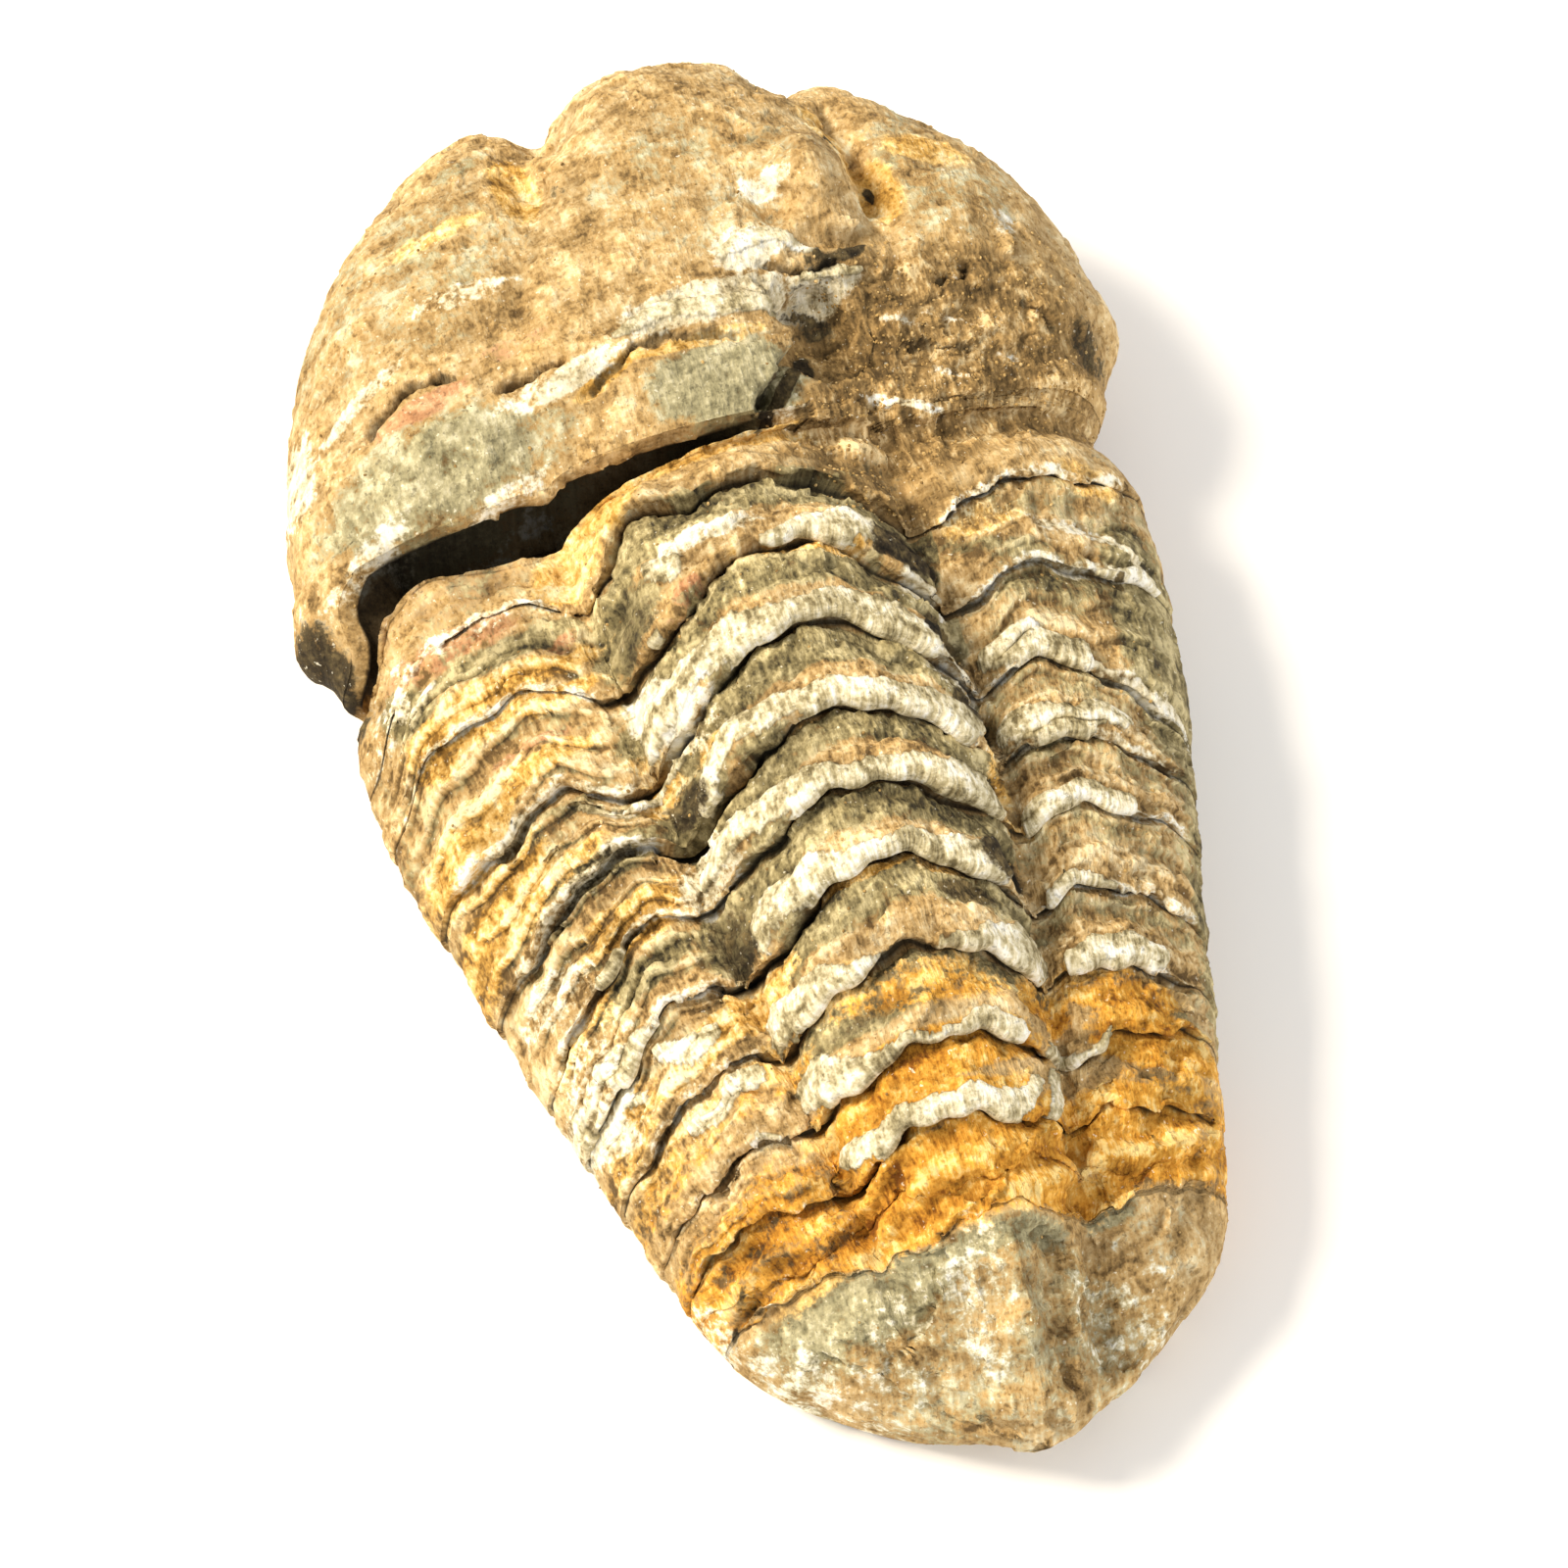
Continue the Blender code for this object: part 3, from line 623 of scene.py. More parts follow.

# %% [markdown]
# ## Where the stone changes
#
# The colour of a fossil tells where it lay and what soaked into it: iron makes ochre, the fresh
# rock is a grey-green limestone, and shell turned to calcite is cream. Each stain below is an
# ellipse on the plan, with its size in millimetres. They only say roughly where; the material
# breaks up their edges with noise. The amounts are stored on the mesh as attributes, which the
# material reads by name. A few dark and grey ellipses are painted shadow and shade, not stains:
# under the broken edge of the head slab, at the left end of the gap under the head, and down the
# right flank.

# %% Stains as ellipses
# Place across, place along, radius across, radius along, turn in degrees, amount
STAINS = {
    "ochre": (
        (-5.6, 31.1, 1.2, 2.7, 0, 1.0), (-10.2, 29.3, 3.1, 0.8, 5, 0.55),
        (10.4, 29.0, 0.7, 3.5, 10, 0.8), (11.6, 25.5, 1.3, 2.7, 10, 0.8),
        (15.3, 27.7, 2.5, 1.3, -20, 0.7), (0.0, 17.4, 3.5, 0.4, 0, 1),
        (-4.7, 17.0, 2.2, 0.5, 25, 0.9), (-9.1, 9.3, 2.3, 1.7, 40, 0.9),
        (-6.6, 10.8, 2.3, 1.0, 35, 1), (-2.5, 12.3, 3.1, 0.8, 5, 0.9),
        (1.7, 12.5, 3.0, 0.6, -5, 0.7), (-15.3, 3.6, 4.0, 1.5, 12, 0.9),
        (-17.6, 2.4, 1.7, 1.3, 30, 0.8), (-11.6, 4.2, 3.0, 0.8, 5, 0.7),
        (-11.5, 2.5, 2.5, 0.6, 5, 0.7), (-13.7, -0.7, 3.5, 0.9, 10, 0.7),
        (-17.8, -2.7, 3.0, 1.7, 40, 0.8), (-15.4, -1.3, 3.0, 0.9, 25, 0.8),
        (-16.7, -6.6, 3.5, 2.0, 38, 0.8), (-18.3, -8.3, 2.0, 1.5, 50, 0.6),
        (-11.4, -10.0, 3.1, 1.4, 15, 0.8), (-13.8, -6.3, 2.5, 0.9, 20, 0.6),
        (-8.4, -4.7, 1.2, 1.0, 0, 0.8), (-8.2, -2.4, 2.0, 0.7, 10, 0.5),
        (11.1, 6.4, 2.5, 1.2, 0, 0.5), (17.3, 8.3, 1.8, 1.0, -30, 0.6),
        (2.3, 4.4, 2.5, 0.5, -15, 0.9), (-0.3, 4.9, 2.0, 0.3, 0, 0.8),
        (-1.3, -13.2, 3.0, 0.5, 5, 0.9), (2.5, -13.7, 1.5, 0.5, -30, 0.5),
        (7.3, -8.4, 0.6, 1.7, 0, 0.6), (7.9, -10.9, 1.2, 0.8, 0, 0.5),
        (-5.7, -4.3, 1.5, 0.7, 20, 0.6), (-0.2, -16.3, 4.0, 0.7, 0, 0.3),
        (-0.2, -19.0, 5.5, 1.5, -5, 0.85), (-7.8, -16.5, 3.0, 1.3, 15, 0.8),
        (-10.7, -17.9, 3.5, 0.6, 20, 0.9), (-14.1, -19.2, 2.5, 1.2, 50, 0.6),
        (-12.5, -21.5, 4.0, 1.4, 30, 0.9), (-14.9, -14.1, 2.5, 0.9, 40, 0.5),
        (-1.7, -22.9, 6.5, 1.3, 5, 1), (-7.9, -19.9, 3.0, 1.5, 15, 0.8),
        (5.7, -20.0, 1.5, 1.5, 0, 1), (9.5, -19.5, 3.5, 1.5, -12, 1),
        (10.9, -22.2, 3.5, 1.6, -12, 0.9), (-0.4, -24.5, 5.0, 0.5, 0, 0.8),
        (-4.8, -24.1, 2.5, 0.8, 20, 0.8), (-8.3, -25.0, 3.5, 0.7, 15, 0.9),
        (-0.3, -26.9, 6.0, 1.4, 0, 1), (8.5, -25.7, 3.5, 1.5, -8, 1), (0.5, -28.9, 6.5, 1.4, 0, 1),
        (-6.3, -28.1, 4.5, 1.3, 20, 1), (-8.1, -26.6, 3.0, 0.8, 20, 0.9),
        (8.5, -27.6, 3.5, 1.2, -5, 0.9), (4.6, -26.5, 2.0, 1.2, 0, 0.7),
        (2.4, -33.0, 1.0, 1.7, 0, 0.3), (-7.9, -33.6, 3.5, 0.8, -15, 0.25),
    ),
    "grey": (
        (-14.0, 15.7, 6.5, 2.7, 0, 0.7), (-14.0, 10.4, 6.0, 2.0, 5, 0.4),
        (-15.8, 18.0, 2.0, 0.8, 10, 0.6), (0.8, 15.2, 4.2, 2.2, 0, 0.8),
        (-9.1, 15.3, 3.0, 1.7, 0, 0.5), (-7.9, 33.8, 2.0, 0.8, 15, 0.5),
        (-12.4, 26.3, 3.0, 1.3, 20, 0.35), (-15.2, 25.6, 3.0, 1.2, 20, 0.3),
        (-11.1, 23.9, 1.5, 0.8, 0, 0.3), (13.2, 24.4, 2.0, 1.4, -20, 0.4),
        (14.6, 32.5, 2.0, 0.8, -35, 0.35), (-0.7, 27.8, 3.0, 1.2, 0, 0.3),
        (-13.1, 6.3, 4.2, 0.8, 3, 0.9), (-18.4, 5.5, 1.2, 1.6, 40, 0.9),
        (-7.6, 3.9, 1.5, 2.4, -45, 0.8), (-8.7, -1.3, 1.2, 1.2, 0, 0.8),
        (-7.3, -6.2, 1.7, 1.7, 35, 0.95), (-12.0, -6.9, 3.8, 0.8, 8, 0.7),
        (-12.4, -3.2, 2.0, 0.5, 0, 0.6), (-14.4, -4.5, 1.5, 1.2, 45, 0.5),
        (-11.8, -12.9, 3.5, 0.9, 20, 0.8), (-7.6, -12.9, 1.5, 1.8, 0, 1),
        (-15.6, -9.6, 1.7, 0.9, 40, 0.5), (-12.0, -7.0, 3.0, 0.5, 8, 0.9),
        (-1.0, 8.6, 6.0, 1.2, 0, 0.85), (2.8, 8.0, 2.5, 1.2, -30, 0.7),
        (0.3, 3.0, 5.5, 1.0, -3, 0.8), (4.3, 2.4, 2.0, 0.9, -40, 0.6), (6.9, 4.1, 1.3, 2.0, 0, 1),
        (0.0, -1.5, 5.5, 1.2, -3, 0.8), (-0.5, -5.9, 5.5, 0.8, -3, 0.75),
        (-1.2, -10.4, 6.0, 1.0, -3, 0.65), (-1.3, -14.6, 5.5, 0.9, 0, 0.7),
        (-2.8, -15.4, 4.0, 0.6, 0, 0.5), (-2.0, -19.9, 4.5, 0.8, 5, 0.8),
        (3.0, -19.0, 1.7, 1.0, -20, 0.9), (11.7, 4.4, 3.2, 0.9, -8, 0.6),
        (13.8, 2.4, 3.5, 1.7, -8, 0.6), (11.9, -2.3, 3.5, 1.4, -8, 0.5),
        (10.9, -6.9, 3.0, 1.0, -8, 0.5), (12.2, -11.0, 3.0, 1.3, -12, 0.4),
        # Painted shade: the long strips at (18.0, -1.0) and (16.6, -15.0) darken the right flank,
        # which faces away from the key lamp
        (11.7, -15.7, 3.0, 0.9, -15, 0.5), (18.0, -1.0, 2.2, 8.0, -5, 0.85),
        (16.6, -15.0, 1.6, 9.0, -12, 0.7), (10.9, -20.4, 3.0, 0.5, -20, 0.7),
        (11.1, -24.5, 2.0, 0.8, -20, 0.6), (-6.4, -30.7, 5.5, 2.1, 0, 0.75),
        (-8.2, -32.2, 3.5, 0.9, -10, 0.5), (-0.5, -30.6, 4.5, 0.8, 0, 0.7),
        (6.0, -29.5, 1.7, 0.9, 0, 0.8), (-1.3, -33.4, 3.5, 1.4, 0, 0.35),
        (-8.3, -25.9, 3.5, 0.7, 10, 0.6), (-10.3, -26.3, 3.0, 0.6, 22, 0.7),
        (7.6, -30.9, 3.0, 2.3, 0, 0.3), (-4.7, -35.9, 3.0, 1.2, -20, 0.4),
        (-13.0, 28.0, 8.0, 6.0, 0, 0.42), (3.0, 27.5, 6.5, 6.0, 0, 0.38),
        (15.0, 26.0, 5.0, 6.0, 0, 0.38), (0.0, -34.0, 9.0, 4.0, 0, 0.45),
    ),
    "cream": (
        (1.1, 19.6, 4.8, 1.3, 3, 0.9), (3.9, 22.2, 1.7, 1.2, 0, 0.9),
        (7.3, 20.1, 2.0, 0.7, -4, 0.8), (-20.1, 20.7, 1.1, 2.7, -10, 0.7),
        (-10.2, 24.7, 3.0, 0.8, 0, 0.5), (-6.3, 17.5, 2.5, 0.8, 12, 0.8),
        (-8.7, 17.5, 2.0, 0.7, 5, 0.5), (6.0, 25.9, 1.5, 0.8, -10, 0.6),
        (17.5, 22.1, 0.8, 1.2, 0, 0.5), (-16.5, 21.5, 3.0, 0.5, 20, 0.6),
        (-18.2, 13.6, 3.0, 0.9, 20, 0.45), (-11.2, 13.5, 3.0, 0.5, 15, 0.5),
        (9.6, 13.5, 2.2, 0.3, -22, 0.6), (3.2, 13.4, 1.5, 0.5, 0, 0.5),
        (-21.9, 12.6, 1.5, 2.3, 0, 0.3), (-20.1, 5.9, 1.0, 3.5, 0, 0.3),
        (-15.1, 8.3, 4.5, 0.6, 5, 0.3), (-2.4, 6.7, 2.5, 0.7, 0, 0.7), (-5.0, 6.0, 0.7, 0.6, 0, 1),
        (6.7, 1.7, 1.2, 0.7, -30, 0.9), (6.8, -1.4, 0.5, 1.4, 0, 0.9),
        (-8.2, 17.1, 2.5, 0.6, 0, 0.4), (15.6, 5.3, 2.5, 0.5, -25, 0.6),
        (18.0, 4.0, 1.5, 0.3, -50, 0.8), (15.2, -3.7, 3.0, 0.2, -35, 0.9),
        (17.7, -5.0, 1.0, 0.2, -60, 0.9), (-15.9, -11.7, 2.0, 1.4, 20, 0.5),
        (-15.1, -16.2, 2.5, 1.7, 50, 0.5), (-15.7, -18.1, 1.0, 2.3, 40, 0.7),
        (-14.0, -17.3, 0.8, 0.4, 35, 1), (-18.7, 5.9, 0.8, 0.5, 60, 0.6),
        (-7.2, -1.4, 1.2, 2.9, 20, 0.8), (-7.5, -9.6, 2.0, 1.5, 20, 0.6),
        (-6.4, -1.4, 1.5, 2.3, 30, 0.5), (6.9, -3.3, 1.5, 1.5, 0, 0.5),
        (7.9, 5.4, 0.5, 0.6, 0, 0.3), (-1.2, -32.5, 2.0, 3.5, 0, 0.35),
        (5.5, -33.5, 3.5, 3.0, 0, 0.3), (-5.5, -33.0, 3.5, 2.5, 0, 0.3),
        (-3.9, -31.7, 4.0, 1.2, 0, 0.3), (-10.3, -31.9, 3.0, 1.2, -30, 0.4),
        (-13.4, -28.3, 3.0, 0.8, -50, 0.4), (10.5, 17.7, 1.6, 0.2, -25, 0.45),
        (13.3, 17.2, 1.8, 0.2, -20, 0.4), (12.2, 14.8, 1.5, 0.2, -22, 0.45),
        (15.6, 15.4, 1.4, 0.2, -25, 0.4),
    ),
    "pink": (
        (-13.6, 19.3, 2.7, 0.8, 8, 0.8), (-13.5, 0.6, 2.5, 0.5, 5, 0.6),
        (-1.0, 8.6, 0.8, 0.7, 0, 0.9), (-14.8, 10.6, 5.5, 1.8, 5, 0.4),
        (-15.5, 7.7, 4.0, 1.2, 4, 0.6), (-4.5, 3.6, 0.9, 0.7, 30, 0.8),
        (-10.5, 5.5, 0.7, 0.5, 0, 0.8), (-5.2, 2.6, 1.5, 0.6, 40, 0.4),
        (9.0, 20.1, 1.5, 0.5, 0, 0.4), (-8.4, 20.6, 3.0, 0.7, 0, 0.4),
        (2.8, 21.8, 1.2, 0.7, 0, 0.3), (-7.9, -16.2, 1.5, 0.6, 0, 0.6),
        (-5.8, -23.0, 1.0, 0.5, 0, 0.6), (-8.5, -33.3, 4.5, 0.9, -12, 0.3),
        (2.1, 25.9, 2.0, 1.7, 0, 0.25),
    ),
    "sand": (
        (12.7, 16.7, 8.0, 4.6, -10, 1), (8.7, 12.6, 5.5, 2.9, 0, 1), (14.9, 13.7, 5.5, 2.5, 0, 0.8),
        (18.1, 19.6, 3.0, 3.5, 0, 0.5), (5.9, 8.6, 2.5, 2.0, 0, 0.9), (10.1, 7.5, 4.5, 1.2, 0, 0.6),
        (18.0, 15.3, 3.0, 3.5, 0, 0.6),
    ),
    # (-21.6, 9.6) at the left end of the gap under the head, and (18.2, 0.0) down the right flank.
    # Painted shadow: (6.2, 19.3), (3.4, 14.6) and (5.2, 16.6) under the head slab's broken edge,
    # The other dark ellipses darken spots in pits, furrows and breaks.
    "dark": (
        (6.2, 19.3, 1.4, 1.0, -25, 0.5), (18.2, 0.0, 1.4, 6.0, -5, 0.15),
        (-13.5, 15.8, 6.0, 2.0, 5, 0.1), (0.6, 15.4, 4.5, 2.0, 0, 0.12),
        (3.4, 14.6, 2.6, 0.4, 48, 1), (5.2, 16.6, 0.6, 1.0, 0, 0.9),
        (-21.6, 9.6, 1.5, 3.6, 10, 0.8), (9.6, 18.4, 2.0, 1.4, 0, 0.2),
        (8.8, 17.1, 1.2, 0.8, 0, 0.25), (15.0, 19.4, 0.9, 0.5, 0, 0.4),
        (18.6, 17.0, 0.8, 1.0, 0, 0.35), (9.2, 21.4, 0.9, 0.5, 30, 1),
        (7.6, 21.0, 1.2, 0.6, 0, 0.6), (5.2, 28.7, 0.9, 0.7, 0, 0.3), (7.0, 29.0, 1.0, 0.7, 0, 0.3),
        (6.9, 10.0, 1.7, 1.5, -20, 0.35), (3.9, 8.9, 2.0, 0.3, -40, 0.35),
        (10.3, 28.6, 0.3, 0.7, 0, 0.8), (11.4, 25.5, 0.2, 0.7, 0, 0.8),
        (-8.4, 28.3, 1.2, 0.2, 0, 0.35), (-3.8, 29.5, 0.4, 1.0, 20, 0.4),
        (6.9, -0.9, 1.0, 1.4, 0, 0.9), (7.0, -4.9, 0.9, 1.1, 0, 1), (6.4, 4.1, 1.7, 1.5, 0, 1),
        (6.7, -9.6, 0.5, 0.9, 0, 1), (5.8, -13.5, 1.2, 1.2, 0, 0.9),
        (-7.7, -12.9, 1.2, 1.5, 0, 0.6), (-7.5, -6.0, 1.1, 1.3, 35, 0.6),
        (-7.2, 3.3, 1.1, 1.8, -45, 0.45), (-2.2, -19.9, 3.0, 0.5, 5, 0.45),
        (17.1, 2.2, 0.3, 0.3, 0, 0.9), (12.1, -5.1, 0.3, 0.3, 0, 0.9),
        (-11.9, -28.8, 0.25, 1.2, -30, 0.55), (-11.2, -28.8, 0.2, 0.6, -40, 0.5),
        (-10.4, -29.9, 0.3, 0.2, 0, 0.4), (3.6, -15.3, 1.5, 0.8, -15, 0.8),
        (-7.0, -14.2, 0.8, 0.8, 0, 0.6), (20.3, 16.3, 1.0, 1.2, 0, 0.5),
    ),
}


def stain(kind, x, y):
    """How much of this kind of stone there is at each point, with a soft edge to each ellipse."""
    amount = np.zeros(x.shape)
    for centre_x, centre_y, radius_x, radius_y, turn, most in STAINS[kind]:
        c, s = math.cos(math.radians(turn)), math.sin(math.radians(turn))
        dx, dy = x - centre_x, y - centre_y
        far = np.hypot((dx * c + dy * s) / radius_x, (dy * c - dx * s) / radius_y)
        amount = np.maximum(amount, most * ease(1.45, 0.55, far))
    return amount


print({kind: len(ellipses) for kind, ellipses in STAINS.items()})

# %% [markdown]
# ## Paths of the calcite crust
#
# The white bands are the shell itself, turned to calcite, standing a quarter of a millimetre proud
# along the back of each ring. They could be painted on by hand; here each band is a line of body
# coordinates with a half width at every point, so it follows its ring round the back and can be
# moved by changing one number.

# %% Bands of crust
# Name, then course, place across and half width in mm at each point
CRUSTS = (
    ("ring 2", (
        (1.91, -0.06, 0.26), (1.84, 0.00, 0.47), (1.76, 0.07, 0.58), (1.69, 0.14, 0.63),
        (1.53, 0.21, 0.68), (1.53, 0.26, 0.42),
    )),
    ("ring 2, along the crack", (
        (1.91, -0.35, 0.26), (1.84, -0.31, 0.32), (1.91, -0.26, 0.37), (1.99, -0.20, 0.37),
        (1.99, -0.16, 0.32), (1.99, -0.12, 0.21),
    )),
    ("ring 2, spot", ((1.38, -0.27, 0.42), (1.46, -0.22, 0.47))),
    ("ring 3", (
        (2.53, -0.38, 0.58), (2.38, -0.35, 0.95), (2.38, -0.29, 0.95), (2.46, -0.22, 0.89),
        (2.61, -0.14, 0.89), (2.76, -0.02, 0.79), (2.69, 0.10, 0.84), (2.61, 0.20, 1.00),
        (2.69, 0.25, 1.00), (2.84, 0.29, 0.47),
    )),
    ("ring 4", (
        (3.76, -0.34, 0.53), (3.53, -0.30, 0.68), (3.46, -0.25, 0.68), (3.53, -0.15, 0.63),
        (3.69, -0.04, 0.53), (3.69, 0.09, 0.63), (3.69, 0.19, 0.89), (3.69, 0.26, 1.00),
        (3.53, 0.35, 0.74),
    )),
    ("ring 5", (
        (4.38, -0.40, 0.53), (4.38, -0.34, 0.68), (4.38, -0.26, 0.68), (4.53, -0.17, 0.79),
        (4.76, -0.06, 0.74), (4.76, 0.07, 0.84), (4.76, 0.18, 0.95), (4.61, 0.30, 1.05),
        (4.61, 0.36, 0.79),
    )),
    ("ring 6", (
        (5.61, -0.34, 0.47), (5.38, -0.31, 0.79), (5.53, -0.21, 0.84), (5.76, -0.10, 0.79),
        (5.84, 0.03, 0.79), (5.76, 0.15, 1.00), (5.69, 0.26, 1.16), (5.46, 0.34, 0.63),
    )),
    ("ring 7", (
        (6.61, -0.42, 0.53), (6.46, -0.39, 0.89), (6.61, -0.30, 0.95), (6.84, -0.17, 0.89),
        (6.99, -0.04, 0.84), (6.91, 0.11, 0.84), (6.76, 0.24, 1.00), (6.53, 0.35, 1.11),
        (6.53, 0.39, 0.68),
    )),
    ("ring 8", (
        (7.30, -0.40, 0.63), (7.46, -0.35, 0.89), (7.76, -0.25, 1.00), (7.91, -0.11, 0.89),
        (7.91, 0.04, 0.84), (7.76, 0.18, 0.89), (7.76, 0.24, 0.68),
    )),
    ("ring 9", (
        (8.53, -0.36, 0.47), (8.69, -0.27, 0.74), (8.84, -0.12, 0.79), (8.84, 0.04, 0.68),
        (8.76, 0.18, 0.58), (8.46, 0.28, 0.42),
    )),
    ("ring 9, right knob", ((8.23, 0.36, 0.37), (8.53, 0.34, 0.47), (8.91, 0.31, 0.37))),
    ("left rib 3", (
        (3.08, -0.60, 0.26), (3.15, -0.54, 0.37), (3.08, -0.47, 0.32), (2.91, -0.40, 0.32),
        (3.00, -0.36, 0.26),
    )),
    ("left rib 5", (
        (4.84, -0.75, 0.47), (4.84, -0.71, 0.53), (4.91, -0.65, 0.37), (4.99, -0.54, 0.32),
    )),
    ("left rib 6", (
        (5.53, -0.86, 0.47), (5.76, -0.78, 0.68), (5.99, -0.68, 0.84), (5.99, -0.59, 1.00),
        (5.99, -0.54, 0.68),
    )),
    ("left rib 6, lower", ((6.08, -0.72, 0.47), (6.38, -0.62, 0.68), (6.30, -0.56, 0.42))),
    ("left rib 7", (
        (7.08, -0.74, 0.32), (7.15, -0.64, 0.42), (7.00, -0.54, 0.53), (6.99, -0.50, 0.42),
    )),
    ("left rib 8", ((8.08, -0.65, 0.63), (7.99, -0.60, 1.05), (7.91, -0.54, 0.68))),
    ("left rib 7, spot", ((6.00, -0.85, 0.37), (6.15, -0.81, 0.32))),
    ("left edge, front", ((1.38, -0.86, 0.32), (1.23, -0.84, 0.32), (1.15, -0.81, 0.21))),
    ("left edge, rear", ((5.38, -0.97, 0.26), (5.76, -0.97, 0.37), (6.00, -0.97, 0.26))),
    ("right rib 3", (
        (2.46, 0.46, 0.55), (2.53, 0.53, 0.85), (2.72, 0.60, 0.85), (2.66, 0.70, 0.50),
    )),
    ("right rib 4", (
        (3.46, 0.46, 0.60), (3.53, 0.53, 0.90), (3.66, 0.61, 0.95), (3.50, 0.70, 0.80),
        (3.42, 0.78, 0.50),
    )),
    ("right rib 5", (
        (4.69, 0.48, 0.60), (4.74, 0.58, 0.90), (4.74, 0.66, 0.90), (4.69, 0.76, 0.50),
    )),
    ("right rib 6", (
        (5.76, 0.50, 0.42), (5.91, 0.59, 0.95), (5.99, 0.69, 1.00), (5.99, 0.76, 0.47),
    )),
    ("right rib 7", (
        (6.69, 0.52, 0.55), (6.61, 0.62, 0.80), (6.61, 0.72, 0.80), (6.61, 0.80, 0.50),
    )),
    ("right rib 8", (
        (8.00, 0.29, 0.26), (7.76, 0.39, 0.37), (7.84, 0.51, 0.32), (7.69, 0.58, 0.26),
    )),
    ("right edge, ring 2", (
        (1.84, 0.65, 0.16), (1.84, 0.78, 0.21), (1.76, 0.90, 0.21), (1.84, 0.96, 0.16),
    )),
    ("right edge, ring 3", (
        (2.99, 0.68, 0.16), (2.91, 0.80, 0.21), (2.84, 0.91, 0.21), (2.91, 0.95, 0.16),
    )),
    ("head, behind the glabella", (
        (-0.21, -0.17, 0.37), (-0.24, -0.06, 0.68), (-0.22, 0.05, 0.79), (-0.21, 0.15, 0.74),
        (-0.19, 0.23, 0.37),
    )),
    ("head, beside the knob", (
        (-0.34, 0.12, 0.37), (-0.36, 0.19, 0.68), (-0.36, 0.25, 0.47), (-0.33, 0.29, 0.42),
        (-0.31, 0.33, 0.21),
    )),
    ("head, right of the knob", ((-0.26, 0.29, 0.32), (-0.26, 0.35, 0.42), (-0.26, 0.41, 0.26))),
)


print(len(CRUSTS), "bands of crust")

# %% Crust round the paths
CRUST_WIDTH = 0.82
THINNEST_CRUST = 0.12
# The step from the crest to the margin, place 0 to 1, is about this many mm
PLACE_MM = 19.0


def smooth_path(points, steps=8):
    """A curve through the points, rounded at each one."""
    points = np.array(points, float)
    padded = np.concatenate([2 * points[:1] - points[1:2], points, 2 * points[-1:] - points[-2:-1]])
    found = []
    for a, b, c, d in zip(padded, padded[1:], padded[2:], padded[3:]):
        for t in np.arange(steps) / steps:
            bend = (2 * a - 5 * b + 4 * c - d) * t**2 + (3 * b - a - 3 * c + d) * t**3
            found.append(0.5 * (2 * b + (c - a) * t + bend))
    return np.array(found + [points[-1]])


def crust_at(course, place):
    """1 in the middle of a band, a half at its edge."""
    amount = np.zeros(course.shape)
    for _name, path in CRUSTS:
        path = smooth_path(path)
        ring = math.floor(path[:, 0].mean())
        on_ring = ring >= 0
        length = LINES[ring][0] - LINES[ring + 1][0] if on_ring else HEAD_Y - LINES[0][0]
        rear = float(ease(9.0, 7.0, ring)) if on_ring else 0.0
        centre = path[:, 0] + 0.2 * rear
        near = np.abs(course - centre.mean()) * length < 7.0
        near &= np.abs(place - path[:, 1].mean()) < 0.6
        if on_ring:
            near &= np.floor(course) == ring
        dy = (course[near][:, None] - centre) * length
        dy = np.where(dy > 0.0, dy * (1.0 - 0.45 * rear), dy)
        dx = (place[near][:, None] - path[:, 1]) * PLACE_MM
        far = np.hypot(dx, dy) / np.maximum(CRUST_WIDTH * path[:, 2], THINNEST_CRUST)
        amount[near] = np.maximum(amount[near], ease(1.5, 0.5, far.min(axis=1)))
    return amount


widest = max(half for _name, path in CRUSTS for _course, _place, half in path)
print("the widest band is", round(2 * CRUST_WIDTH * widest, 2), "mm wide")

# %% [markdown]
# ## Marks for the material
#
# What kind of stone lies where is stored on every point of the mesh as a number, a mark with a
# name. Blender calls it an attribute. Image textures could hold it too, but would need unwrapping
# and would go soft close up. Besides the stains there are marks for how rough the skin is, how
# deep in a crack a point lies, which sets the shade painted into the cracks, how near a break is,
# which sets the shadow painted along it, and the layers on the ribs, which paint light and shade
# on them. A pale line painted along the rear lip of each rib is a highlight. The lay is the skin
# unrolled flat, in which streaks can run along the body.

# %% Marks on the skin
TAIL_START, TAIL_EDGE = 11.2, 10.85


def padded(values):
    """The back's values with zeros for the flanks and the belly."""
    back = np.broadcast_to(values, (len(rows), BACK_COLUMNS))
    return np.pad(back, ((0, 0), (0, columns - BACK_COLUMNS)))


